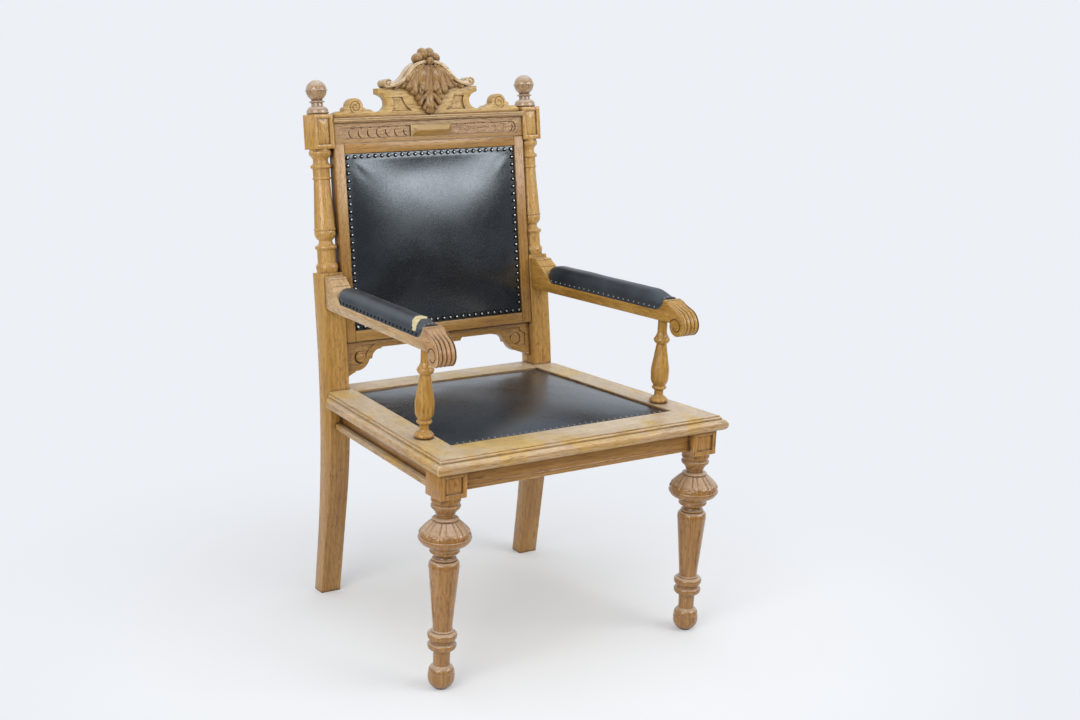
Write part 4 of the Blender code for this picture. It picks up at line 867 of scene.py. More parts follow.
LEAF = one_way("oak_carved_leaf", "z", "oak_carved", pale=(0.390, 0.228, 0.082), deep=(0.250, 0.130, 0.040),
               grime=0.88, reach=0.010, rubbed=(0.66, 0.52, 0.32), rub=0.8, bleach=0.8, dull=(0.28, 0.42), coat=0.12)
HOOD = one_way("oak_carved_hood", "x", "oak_carved", pale=(0.580, 0.410, 0.220), deep=(0.400, 0.262, 0.120),
               grime=0.8, reach=0.008, rubbed=(0.82, 0.72, 0.58), rub=0.8, bleach=1.0, dull=(0.22, 0.36), coat=0.3)
PINE = wood("pine", "x", pale=(0.520, 0.350, 0.180), deep=(0.400, 0.240, 0.110), grime=0.4, dull=(0.60, 0.78))


def leather_finish(name, dark, dusty, dull, tint):
    """Black leather, dusty and duller in patches."""
    made, tree, shader, place = start_material(name)
    hide = placed(tree, HIDE, {"Place": place})
    colour = mixed(tree, span(tree, hide["Dull"], 0.3, 0.7), (*dark, 1), (*dusty, 1))
    feed(tree, shader.inputs["Base Color"], colour)
    gloss = span(tree, hide["Dull"], 0.25, 0.75, dull[0], dull[1])
    feed(tree, shader.inputs["Roughness"], plus(tree, gloss, span(tree, hide["Mottle"], 0.3, 0.7, -0.04, 0.06)))
    shader.inputs["IOR"].default_value = 1.6
    shader.inputs["Specular IOR Level"].default_value = 0.85
    shader.inputs["Specular Tint"].default_value = (*tint, 1)
    raise_surface(tree, shader, hide["Height"], 0.36, 0.0006)
    return made, "leather"


def cloth_finish(name, slot, colour, other, threads):
    """Plain-woven cloth with slubs in a second colour."""
    made, tree, shader, place = start_material(name)
    weave = placed(tree, WEAVE, {"Place": place, "Threads": threads})
    slubbed = mixed(tree, span(tree, weave["Shade"], 0.3, 0.7), (*colour, 1), (*other, 1))
    feed(tree, shader.inputs["Base Color"], slubbed)
    shader.inputs["Roughness"].default_value = 0.88
    raise_surface(tree, shader, weave["Height"], 0.5, 0.0004)
    return made, slot


def metal_finish(name, way, crown, rim):
    """Nail heads: dark, with a painted highlight where the dome faces out, broken up by tarnish."""
    made, tree, shader, place = start_material(name)
    tarnish = speckle(tree, place, 420.0, 3.0, 0.6)
    normal = add(tree, "NewGeometry").outputs["Normal"]
    facing = add(tree, "VectorMath", {0: normal, 1: Vector(way).normalized()}, operation='DOT_PRODUCT').outputs["Value"]
    # Where the dome faces the given way its colour goes to the crown colour: a painted highlight
    top = span(tree, calc(tree, 'ABSOLUTE', facing), 0.91, 0.985)
    painted_glint = times(tree, top, span(tree, tarnish, 0.25, 0.60, 0.75, 1.0))
    feed(tree, shader.inputs["Base Color"], mixed(tree, painted_glint, (*rim, 1), (*crown, 1)))
    shader.inputs["Metallic"].default_value = 0.9
    feed(tree, shader.inputs["Roughness"], span(tree, painted_glint, 0.0, 1.0, 0.25, 0.42))
    raise_surface(tree, shader, tarnish, 0.2, 0.0003)
    return made, "nail"


def stuffing_finish():
    """Loose straw and fibre."""
    made, tree, shader, place = start_material("straw_stuffing")
    fibres = speckle(tree, stretched(tree, place, (1, 0.3, 0.6)), 700.0, 4.0, 0.7, 1.5)
    colour = mixed(tree, span(tree, fibres, 0.3, 0.7), (0.42, 0.30, 0.12, 1), (0.86, 0.78, 0.52, 1))
    feed(tree, shader.inputs["Base Color"], colour)
    shader.inputs["Roughness"].default_value = 0.9
    raise_surface(tree, shader, fibres, 0.8, 0.0015)
    return made, "jute"


LEATHER = leather_finish("black_leather", (0.007, 0.008, 0.010), (0.012, 0.014, 0.017), (0.22, 0.31),
                         (0.84, 0.93, 1.0))
SAT_LEATHER = leather_finish("black_leather_sat", (0.008, 0.010, 0.014), (0.018, 0.022, 0.028), (0.24, 0.34),
                             (0.70, 0.86, 1.0))
ARM_LEATHER = leather_finish("black_leather_arm", (0.014, 0.016, 0.020), (0.040, 0.045, 0.054), (0.34, 0.48),
                             (0.74, 0.88, 1.0))
JUTE = cloth_finish("jute_webbing", "jute", (0.36, 0.24, 0.12), (0.24, 0.15, 0.07), 3200.0)
COVER = cloth_finish("black_cover_cloth", "cover_cloth", (0.018, 0.018, 0.020), (0.030, 0.030, 0.033), 5200.0)
BACK_WAY = BACK.to_3x3() @ Vector((0, -1, 0))
# Crown colours are painted highlights on the heads; rim colours are the dark heads round them
DOME_NAIL = metal_finish("dome_nail", BACK_WAY, (0.72, 0.72, 0.74), (0.016, 0.015, 0.015))
BLACK_NAIL = metal_finish("black_nail", (1, 0, 0), (0.050, 0.050, 0.052), (0.012, 0.012, 0.012))
SIDE_TACK = metal_finish("side_tack", (1, 0, 0), (0.95, 0.95, 0.96), (0.30, 0.30, 0.31))
TOP_TACK = metal_finish("top_tack", (0, -0.15, 1), (0.80, 0.80, 0.82), (0.16, 0.15, 0.15))
STUFFING = stuffing_finish()


# Legs and posts

def leg_profile():
    """Height and radius from the floor up to the square block."""
    foot = [(0, 0.0112), (0.0020, 0.0135, 0.0004), (0.0255, 0.0253, 0.0040), (0.0330, 0.0247, 0.0004),
            (0.0336, 0.0238), (0.0344, 0.0243), (0.0460, 0.0185, 0.0018), (0.0480, 0.0163), (0.0560, 0.0159),
            (0.0740, 0.0163), (0.0752, 0.0182), (0.0775, 0.0190), (0.0790, 0.0226), (0.0868, 0.0274, 0.0014),
            (0.0925, 0.0244, 0.0012), (0.0935, 0.0228), (0.0968, 0.0228), (0.0985, 0.0240), (0.1062, 0.0280, 0.0012),
            (0.1135, 0.0232, 0.0022), (0.1145, 0.0212), (0.1172, 0.0208, 0.0004), (0.1185, 0.0184), (0.130, 0.0189)]
    head = [(-0.1400, 0.0288), (-0.1330, 0.0288, 0.0006), (-0.1252, 0.0254, 0.0012), (-0.1243, 0.0214),
            (-0.1236, 0.0214), (-0.1230, 0.0225), (-0.1198, 0.0225, 0.0006), (-0.1186, 0.0192), (-0.1165, 0.0180),
            (-0.1135, 0.0180), (-0.1115, 0.0198), (-0.1105, 0.0232), (-0.1092, 0.0268, 0.0004),
            (-0.1040, 0.0284, 0.0008), (-0.1030, 0.0280), (-0.0995, 0.0290), (-0.0918, 0.0409, -0.0008),
            (-0.0850, 0.0477, 0.0010), (-0.0810, 0.0498, 0.0004), (-0.0788, 0.0501, 0.0002), (-0.0776, 0.0496),
            (-0.0770, 0.0485), (-0.0608, 0.0404, 0.0020), (-0.0460, 0.0238, 0.0005), (-0.0456, 0.0247),
            (-0.0428, 0.0251, 0.0004), (-0.0415, 0.0225, 0.0003), (-0.0402, 0.0176), (-0.0345, 0.0174),
            (-0.0335, 0.0184), (-0.0305, 0.0186, 0.0005), (-0.0298, 0.0200), (-0.0235, 0.0240, 0.0004),
            (-0.0228, 0.0262), (-0.0185, 0.0279, 0.0006), (-0.0160, 0.0266, 0.0006), (-0.0150, 0.0253),
            (-0.0120, 0.0253), (-0.0110, 0.0266), (-0.0040, 0.0277, 0.0010), (0.004, 0.0277)]
    return foot + moved(head, LEG_BLOCK_BOTTOM)


def leg_carving(z, angle, radius):
    """Tongues and darts over the bulb, and narrow flutes down the shaft."""
    if BULB_RIM < z < BULB_COLLAR:
        turn = angle * TONGUES / (2 * math.pi) % 1.0
        share = DART_SHARE if turn < DART_SHARE else 1 - DART_SHARE
        place = turn / share if turn < DART_SHARE else (turn - DART_SHARE) / share
        end = BULB_RIM + (DART_END if share == DART_SHARE else TONGUE_END) + 0.0060 * (1 - dome(2 * place - 1))
        there = smooth((z - end) / 0.0016) * smooth((BULB_COLLAR - z) / 0.0015)
        across = min(place, 1 - place) * share * 2 * math.pi * radius / TONGUES
        swell = TONGUE_SWELL * (1 - (2 * place - 1) ** 4)
        return there * (swell - TONGUE_GROOVE * swelling(across, TONGUE_GROOVE))
    if FLUTE_LOW < z < FLUTE_HIGH:
        quarter = 2 * math.pi / FLUTES
        away = abs((angle + quarter / 2) % quarter - quarter / 2) * radius
        end = min(1.0, math.sqrt(min(z - FLUTE_LOW, FLUTE_HIGH - z) / FLUTE_HALF))
        return -FLUTE_DEPTH * end * dome(away / FLUTE_HALF)
    return 0.0


def leg_spacing(z):
    """Step of the turned surface, finer over the carved bulb."""
    return 0.0011 if BULB_RIM - 0.001 < z < BULB_COLLAR else 0.004


def make_front_legs():
    top = SEAT_HEIGHT - FRAME_THICK - FIT
    tall = top - LEG_BLOCK_BOTTOM
    for name, side in SIDES:
        head = panelled((-LEG_HALF, LEG_HALF), (LEG_BLOCK_BOTTOM, top), -LEG_HALF, LEG_HALF)
        for corner in head.verts:
            corner.co.z -= SEAT_FALL * corner.co.y * (corner.co.z - LEG_BLOCK_BOTTOM) / tall
        leg = joined(turned(leg_profile(), 192, leg_carving, leg_spacing), head)
        piece("turned_leg_" + name, leg, LEG, ["front_leg_" + name],
              Matrix.Translation((side * LEG_X, 0, 0)))


def post_outline():
    """Side view of a rear post from the floor to the shoulder: depth and height."""
    front_line = KNEE_Y - LEAN_SLOPE * KNEE_Z
    rear_line = front_line + POST_DEPTH / math.cos(LEAN)
    runs = []
    for line, (foot, rake, reach) in ((front_line, REAR_LEG_FRONT), (rear_line, REAR_LEG_REAR)):
        corner_z = (foot - line) / (rake + LEAN_SLOPE)
        start = (foot - rake * (corner_z - reach), corner_z - reach)
        corner = (foot - rake * corner_z, corner_z)
        end = (line + LEAN_SLOPE * (corner_z + reach), corner_z + reach)
        runs.append([(foot, 0.0), start] + bend(start, corner, end))
    shoulder = [tuple((BACK @ Vector((0, d, POST_SHOULDER)))[1:]) for d in (0, POST_DEPTH)]
    return runs[0] + shoulder + runs[1][::-1]


def column_profile():
    """Height and radius of a post's turned column above its shoulder."""
    base = [(-0.004, 0.0215), (0.006, 0.0220), (0.0190, 0.0200, 0.0018), (0.0200, 0.0188), (0.0225, 0.0188),
            (0.0465, 0.0188), (0.0475, 0.0208), (0.0550, 0.0215, 0.0015), (0.0630, 0.0138, -0.0020),
            (0.0660, 0.0140), (0.0860, 0.0212, 0.0035), (0.0865, 0.0226), (0.0895, 0.0226, 0.0006), (0.0902, 0.0214)]
    head = [(-0.0620, 0.0165), (-0.0610, 0.0182), (-0.0575, 0.0182, 0.0008), (-0.0560, 0.0170),
            (-0.0400, 0.0172), (-0.0390, 0.0195), (-0.0315, 0.0195, 0.0020), (-0.0300, 0.0172),
            (-0.0150, 0.0195, -0.0030), (-0.0140, 0.0207), (-0.0025, 0.0213, 0.0020), (0.004, 0.0213)]
    return base + moved(head, COLUMN_LENGTH)


def finial_profile():
    """Height and radius of a ball finial above its block."""
    return [(FIT, 0.0205), (0.0008, 0.0212), (0.0050, 0.0222, 0.0012), (0.0165, 0.0122, 0.0030), (0.0190, 0.0117),
            (0.0225, 0.0117), (0.0235, 0.0150), (0.0265, 0.0150, 0.0010), (0.0285, 0.0110), (0.0305, 0.0125),
            (0.0468, 0.0212, 0.0021), (0.0472, 0.0226), (0.0492, 0.0226, 0.0004), (0.0496, 0.0212),
            (0.0690, 0.0035, 0.0046), (0.0694, 0.0004)]


def make_rear_posts():
    for name, side in SIDES:
        x = side * POST_X
        post = board(post_outline(), -POST_HALF, POST_HALF, 0, 0.0016)
        post.transform(Matrix.Translation((x, 0, 0)))
        axis = BACK @ Matrix.Translation((x, POST_DEPTH / 2, POST_SHOULDER))
        post = joined(post, shifted(turned(column_profile(), 72), axis))
        head = panelled((x - POST_HALF, x + POST_HALF), (BLOCK_LOW, BLOCK_TOP), 0, POST_DEPTH)
        post = joined(post, shifted(head, BACK))
        piece("post_" + name, post, POST, ["rear_post_" + name])
        crown = BACK @ Matrix.Translation((x, POST_DEPTH / 2, BLOCK_TOP))
        piece("ball_finial_" + name, turned(finial_profile(), 72), OAK_BALL, ["finial_" + name], crown)


# Rails

def rail_plane(side):
    """The splayed line of a side rail; its places are out from the line, back and up."""
    spread = Matrix.Identity(4)
    spread[0][0] = side
    spread[0][1] = -side * (LEG_X - POST_X) / (KNEE_Y + POST_DEPTH / 2)
    spread[0][3] = side * LEG_X
    return SEAT @ spread


def make_rails():
    top = -FRAME_THICK - FIT
    face = -LEG_HALF + FRONT_RAIL_SETBACK
    low = -FRONT_RAIL_DROP
    end = LEG_X - LEG_HALF - FIT
    bead = [(0, STRIP_HEIGHT + 0.001), (-0.0006, STRIP_HEIGHT), (-BEAD_PROUD, STRIP_HEIGHT * 0.62, 0.0010),
            (-BEAD_PROUD + 0.0010, 0, 0.0012)]
    outline = path([(face + RAIL_THICK, low), (face + RAIL_THICK, top), (face, top)] + moved(bead, face, low))
    piece("front_apron", board(outline, -end, end, 0, 0.0006), OAK_DARK["x"], ["front_rail"], SEAT)
    low = -SIDE_RAIL_DROP
    start = LEG_HALF + FIT
    stop = KNEE_Y - 0.0035
    for name, side in SIDES:
        rail = beam(1, (start, stop), (-SIDE_RAIL_INSET - RAIL_THICK, -SIDE_RAIL_INSET), (low, top), 0.0010)
        piece("side_apron_" + name, rail, OAK_DARK["y"], ["side_rail_" + name], rail_plane(side))
        strip = beam(1, (start, stop), (-SIDE_RAIL_INSET + FIT, STRIP_PROUD), (low, low + STRIP_HEIGHT), 0.0016)
        piece("side_strip_" + name, strip, OAK_WORN["y"], ["side_rail_strip_" + name], rail_plane(side))
    front = KNEE_Y + REAR_RAIL_FROM_FRONT
    end = POST_INNER - FIT
    rail = beam(0, (-end, end), (front, front + RAIL_THICK), (low, top))
    piece("rear_apron", rail, OAK_DARK["x"], ["rear_rail"], SEAT)


# Seat frame

def frame_half(y, in_from_nosing):
    """Half the width of the seat frame at a depth, so far in from its nosing."""
    return SEAT_HALF_FRONT - SEAT_TAPER * (y + SEAT_OVERHANG) - in_from_nosing * math.hypot(1, SEAT_TAPER)


def opening_half(y):
    return frame_half(y, SIDE_BAR)


def frame_section(width):
    """Section of a moulded bar: distance in from the nosing, height from the seat top."""
    inner = width + PAD_LEDGE
    return path([(inner, -FRAME_THICK), (inner, -PAD_SINK), (width, -PAD_SINK), (width, -0.0010),
                 (width - 0.0010, 0, 0.0003), (0.0150, 0), (0.0140, -0.0010, 0.0003), (0.0140, -0.0030),
                 (0.0105, -0.0060, -0.0010), (0.0105, -0.0085), (0.0058, -0.0090), (0.0040, -0.0102, 0.0003),
                 (0.0085, -FRAME_THICK, -0.0064)])


def moulded_bar(point, along, inward, cuts, width):
    """Sweep the section along an outer edge between two cuts, each a point and a direction."""
    loops = []
    for foot, way in cuts:
        loop = []
        for in_by, z in frame_section(width):
            base = Vector(point) + Vector(inward) * in_by
            gap = base - Vector(foot)
            reach = (gap.y * way[0] - gap.x * way[1]) / (along[0] * way[1] - along[1] * way[0])
            spot = base + Vector(along) * reach
            loop.append((spot.x, spot.y, z))
        loops.append(loop)
    return loft(loops)


def make_seat_frame():
    tip = (SEAT_HALF_FRONT, -SEAT_OVERHANG)
    mitre = (opening_half(OPENING_FRONT) - tip[0], OPENING_FRONT - tip[1])
    gap = Vector((FIT, 0))
    cuts = ((Vector((-tip[0], tip[1])) + gap, (-mitre[0], mitre[1])), (Vector(tip) - gap, mitre))
    front = moulded_bar((0, -SEAT_OVERHANG), (1, 0), (0, 1), cuts, FRONT_BAR)
    piece("seat_front_bar", front, OAK_WORN["x"], ["seat_frame_front"], SEAT, CRISP)
    slant = math.hypot(1, SEAT_TAPER)
    splay = 2 * SIDE_BAR
    for name, side in SIDES:
        edge = (side * tip[0], tip[1])
        along = (-side * SEAT_TAPER / slant, 1 / slant)
        inward = (-side / slant, -SEAT_TAPER / slant)
        cuts = ((edge, (side * mitre[0], mitre[1])), ((0, KNEE_Y + 0.004), (1, 0)))
        bar = shifted(moulded_bar(edge, along, inward, cuts, SIDE_BAR), SEAT)
        wide = POST_HALF + FIT
        post = prism(post_outline(), -wide, wide, 0)
        bar = carved(bar, shifted(post, Matrix.Translation((side * POST_X, -FIT, 0))))
        corner = POST_OUTER - FIT
        wedge = [(corner, KNEE_Y), (corner + splay, KNEE_Y - splay), (corner + splay, KNEE_Y + splay),
                 (corner, KNEE_Y + splay)]
        wedge = prism(flipped(wedge, side), -FRAME_THICK - splay, splay, 2)
        bar = carved(bar, shifted(wedge, SEAT))
        piece("seat_side_bar_" + name, bar, OAK_WORN["y"], ["seat_frame_" + name], angle=CRISP)
    step = KNEE_Y + 0.004 + FIT
    rear = OPENING_REAR + BACK_BAR
    wide = POST_INNER - FIT
    half = [(opening_half(OPENING_REAR) - FIT, OPENING_REAR), (opening_half(step) - FIT, step), (wide, step),
            (wide, rear)]
    bar = board(mirrored(half), -FRAME_THICK, 0, 2, 0.0008)
    ledge = opening_half(OPENING_REAR) - PAD_LEDGE - 0.002
    lip = beam(0, (-ledge, ledge), (OPENING_REAR - PAD_LEDGE, OPENING_REAR + 0.002), (-FRAME_THICK, -PAD_SINK), 0.0006)
    piece("seat_back_bar", gathered([bar, lip]), OAK_WORN["x"], ["seat_frame_back"], SEAT)


# Upholstery

def soft_loop(corners, level, scale=1, count=PAD_POINTS):
    """A loop round a four-sided panel, drawn in from straight sides to an oval as scale falls."""
    middle = sum((Vector(c) for c in corners), Vector((0, 0))) / 4
    loop = []
    for k in range(4):
        a = Vector(corners[k]) - middle
        b = Vector(corners[(k + 1) % 4]) - middle
        for i in range(count):
            straight = a.lerp(b, i / count)
            angle = math.pi / 4 * (2 * i / count - 1)
            oval = (a + b) / 2 * math.cos(angle) + (b - a) / 2 * math.sin(angle)
            spot = middle + oval.lerp(straight, scale ** 2) * scale
            loop.append((spot.x, spot.y, level))
    return loop


def opening_corners(by):
    """Corners of the seat frame's opening, drawn in by a distance."""
    front = OPENING_FRONT + by
    rear = OPENING_REAR - by
    return [(-opening_half(front) + by, front), (opening_half(front) - by, front),
            (opening_half(rear) - by, rear), (-opening_half(rear) + by, rear)]


def side_gaps(corners, spot):
    """For each side of a four-sided panel: how far in a point lies, and its place along the side in nails."""
    found = []
    for first, last in zip(corners, corners[1:] + corners[:1]):
        side = Vector(last) - Vector(first)
        along = side.normalized()
        gap = Vector(spot) - Vector(first)
        away = abs(along.x * gap.y - along.y * gap.x)
        found.append((away, gap.dot(along) / side.length * max(1, round(side.length / NAIL_PITCH))))
    return found


def crowned(corners, edge, crown, border, fullness, seed):
    """Loops of a stuffed panel: a flat nailed border, then one soft pillow with slight creases."""
    middle = sum((Vector(c) for c in corners), Vector((0, 0))) / 4
    loops = []
    for scale in PAD_STEPS:
        loop = []
        for x, y, _ in soft_loop(corners, 0, scale):
            gaps = side_gaps(corners, (x, y))
            away, along = min(gaps, key=lambda gap: gap[0])
            near, right, far, left = (max(1e-6, gap[0] - border) for gap in gaps)
            u = abs(left - right) / (left + right)
            v = abs(near - far) / (near + far)
            rise = (1 - u ** fullness) * (1 - v ** fullness)
            pull = math.exp(-away / 0.016) * 0.0006 * math.cos(2 * math.pi * along)
            lump = noise.noise(Vector((x * 9 + seed, y * 9, seed))) * 0.0011 * smooth(away / 0.06)
            fold = 0.0
            for corner in corners:
                gap = Vector(corner) - Vector((x, y))
                swing = gap.angle_signed(Vector(corner) - middle, 0.0) if gap.length > 1e-6 else 0.0
                close = swelling(gap.length - 0.045, 0.026)
                fold += close * 0.0009 * (swelling(swing - 0.12, 0.10) - 0.6 * swelling(swing + 0.10, 0.12))
            loop.append((x, y, edge + crown * rise - pull + lump + fold))
        loops.append(loop)
    return loops


def make_seat_pad():
    seated = opening_corners(PAD_LEDGE + FIT)
    corners = opening_corners(FIT)
    loops = [soft_loop(seated, -FRAME_THICK + 0.0018), soft_loop(seated, -PAD_SINK + FIT),
             soft_loop(corners, -PAD_SINK + FIT), soft_loop(corners, -PAD_EDGE_DROP - 0.0008)]
    loops += crowned(corners, -PAD_EDGE_DROP, SEAT_CROWN + SAT_RISE, border=0.004, fullness=3.6, seed=2.0)
    pad = piece("seat_leather", loft(loops), SAT_LEATHER, ["seat_pad"], SEAT, SOFT)


def back_corners(by):
    """Corners of the back frame's opening, drawn in by a distance."""
    half = OPENING_HALF - by
    low = BACK_LOW + BACK_BOTTOM_RAIL + by
    high = BACK_HIGH - BACK_TOP_RAIL - by
    return [(-half, low), (half, low), (half, high), (-half, high)]


def make_back_pad():
    corners = back_corners(FIT)
    loops = [soft_loop(corners, -BACK_REAR), soft_loop(corners, -BACK_FACE - 0.0008)]
    loops += crowned(corners, -BACK_FACE, BACK_CROWN, border=0.011, fullness=2.7, seed=7.0)
    upright = [[(x, -out, h) for x, h, out in loop] for loop in loops]
    pad = piece("back_leather", loft(upright), LEATHER, ["back_pad"], BACK, SOFT)


def make_rear_cover():
    """The black cloth behind the back panel, and the straps under it."""
    half, low = back_corners(FIT)[1]
    high = back_corners(FIT)[2][1]
    cloth_half = half + COVER_LAP
    cloth_low = low - COVER_LAP
    cloth_high = high + COVER_LAP
    columns, rows = 40, 36
    front = []
    for j in range(rows + 1):
        for i in range(columns + 1):
            u = -1 + 2 * i / columns
            v = -1 + 2 * j / rows
            slack = 0.0012 * (1 - u * u) * (1 - v * v) * (1 + 0.5 * noise.noise(Vector((u * 3, v * 3, 1))))
            h = cloth_low + (cloth_high - cloth_low) * (v + 1) / 2
            front.append((cloth_half * u, BACK_REAR + 0.0024 + slack, h))
    cover = piece("rear_cover", sheet_body(front, columns, rows, (0, 0.0009, 0)), COVER, ["back_cover"], BACK)
    for i in range(3):
        h = low + (high - low) * (0.25 + 0.25 * i)
        strap = beam(0, (-cloth_half, cloth_half), (BACK_REAR + FIT, BACK_REAR + FIT + STRAP_THICK),
                     (h - STRAP_WIDTH / 2, h + STRAP_WIDTH / 2), 0.0004)
        piece("back_strap_%d" % (i + 1), strap, JUTE, ["back_webbing_%d" % (i + 1)], BACK)


def make_back_nails():
    """Dome nails all round the back leather."""
    corners = [Vector(c) for c in back_corners(FIT)]
    nails = []
    for a, b in zip(corners, corners[1:] + corners[:1]):
        into = Vector((a.y - b.y, b.x - a.x)).normalized() * NAIL_BORDER
        count = round((b - a).length / NAIL_PITCH)
        for i in range(count):
            spot = a.lerp(b, (i + 0.5) / count) + into
            nails.append((BACK @ Vector((spot.x, BACK_FACE + 0.0003, spot.y)), BACK_WAY))
    piece("back_dome_nails", studs(nails, *DOME_HEAD), DOME_NAIL, angle=SOFT)


def sheet_body(front, columns, rows, through):
    """A thin cloth from a grid of points, with a second skin behind it and a closed rim."""
    bm = bmesh.new()
    skins = []
    for shift in (Vector((0, 0, 0)), Vector(through)):
        skins.append([bm.verts.new(Vector(p) + shift) for p in front])
    wide = columns + 1
    for skin in skins:
        for j in range(rows):
            for i in range(columns):
                a = j * wide + i
                bm.faces.new((skin[a], skin[a + 1], skin[a + wide + 1], skin[a + wide]))
    rim = [i for i in range(columns)] + [columns + j * wide for j in range(rows)]
    rim += [rows * wide + i for i in range(columns, 0, -1)] + [j * wide for j in range(rows, 0, -1)]
    for a, b in zip(rim, rim[1:] + rim[:1]):
        bm.faces.new((skins[0][a], skins[0][b], skins[1][b], skins[1][a]))
    return bm


def studs(places, radius, height, sides):
    """Nail heads: low domes with a turned-in rim, each at a point and facing a direction."""
    profile = ((-0.0004, 0.92), (0.0, 1.0), (0.16, 1.0), (0.45, 0.90), (0.72, 0.70), (0.92, 0.40), (1.0, 0.10))
    bodies = []
    for spot, way in places:
        turn = Vector((0, 0, 1)).rotation_difference(Vector(way)).to_matrix().to_4x4()
        loops = []
        for level, share in profile:
            z = level if level < 0 else level * height
            loops.append([(radius * share * math.cos(a), radius * share * math.sin(a), z) for a in full_turn(sides)])
        bodies.append(shifted(loft(loops), Matrix.Translation(spot) @ turn))
    return gathered(bodies)


def make_seat_tacks():
    """One row along the front edge of the seat leather."""
    left, right = [Vector(c) for c in opening_corners(0.0115)[:2]]
    count = round((right - left).length / SEAT_TACK_PITCH)
    tacks = []
    for i in range(count):
        spot = left.lerp(right, (i + 0.5) / count)
        tacks.append((SEAT @ Vector((spot.x, spot.y, -PAD_EDGE_DROP + 0.0014)), Vector((0, -0.15, 1))))
    piece("seat_tacks", studs(tacks, *TACK_HEAD), TOP_TACK, angle=SOFT)


def make_webbing():
    """Hessian under the seat pad, and three straps each way woven below it."""
    corners = [Vector(c) for c in opening_corners(PAD_LEDGE + FIT)]
    columns, rows = 36, 30
    sheet = []
    for j in range(rows + 1):
        for i in range(columns + 1):
            u, v = i / columns, j / rows
            spot = corners[0].lerp(corners[1], u).lerp(corners[3].lerp(corners[2], u), v)
            sheet.append((spot.x, spot.y, -FRAME_THICK + 0.0002))
    hessian = piece("hessian", sheet_body(sheet, columns, rows, (0, 0, 0.0010)), JUTE, ["seat_hessian"], SEAT)
    depth = OPENING_REAR - OPENING_FRONT
    lines_y = [OPENING_FRONT + depth * (0.25 + 0.25 * i) for i in range(3)]
    lines_x = [(i - 1) * opening_half(OPENING_REAR) / 2 for i in range(3)]
    level = -FRAME_THICK - FIT - 0.00165
    shares = [s / STRAP_STEPS for s in range(STRAP_STEPS + 1)]
    for i in range(3):
        half = opening_half(lines_y[i]) - PAD_LEDGE / 4
        run = [-half + 2 * half * t for t in shares]
        spots = [(x, lines_y[i], level + STRAP_WAVE * strap_side(i, x, lines_x)) for x in run]
        piece("seat_strap_cross_%d" % (i + 1), strap_body(spots, Vector((0, 1, 0))), JUTE,
              ["seat_webbing_cross_%d" % (i + 1)], SEAT)
        run = [OPENING_FRONT - PAD_LEDGE + (depth + 2 * PAD_LEDGE) * t for t in shares]
        spots = [(lines_x[i], y, level - STRAP_WAVE * strap_side(i, y, lines_y)) for y in run]
        piece("seat_strap_long_%d" % (i + 1), strap_body(spots, Vector((1, 0, 0))), JUTE,
              ["seat_webbing_long_%d" % (i + 1)], SEAT)


def strap_side(index, place, crossings):
    """The side that a strap takes: over and under by turns at the crossings, its own side between them."""
    nearest = min(range(len(crossings)), key=lambda n: abs(place - crossings[n]))
    crossing = abs(place - crossings[nearest]) < STRAP_WIDTH * 0.62
    return -1 if crossing and (index + nearest) % 2 == 0 else 1


def strap_body(spots, across):
    """A woven strap through points, with rounded selvedges."""
    half = STRAP_WIDTH / 2
    flat = half - 0.0006
    thick = STRAP_THICK / 2
    section = [(-flat, -thick), (flat, -thick), (half, 0), (flat, thick), (-flat, thick), (-half, 0)]
    return loft([[tuple(Vector(spot) + across * a + Vector((0, 0, b))) for a, b in section] for spot in spots])


# Arms

def arm_x(y):
    return POST_X + ARM_TAPER * (ARM_REAR_Y - y)


def post_front(z):
    return KNEE_Y + LEAN_SLOPE * (z - KNEE_Z)


def arm_under(y):
    throat = SCROLL_Y + SCROLL_INNER_R
    return ARM_UNDER_FRONT + (ARM_UNDER_REAR - ARM_UNDER_FRONT) * (y - throat) / (ARM_KINK - throat)


def arm_seat(y):
    t = (y - ARM_PAD_FRONT_Y) / (ARM_HEEL_Y - ARM_PAD_FRONT_Y)
    return ARM_SEAT_FRONT + (ARM_SEAT_REAR - ARM_SEAT_FRONT) * t


def arm_plane(side):
    """The splayed line of an arm; its places are across, back and up."""
    spread = Matrix.Identity(4)
    spread[0][0] = side
    spread[0][1] = -side * ARM_TAPER
    spread[0][3] = side * (POST_X + ARM_TAPER * ARM_REAR_Y)
    return spread


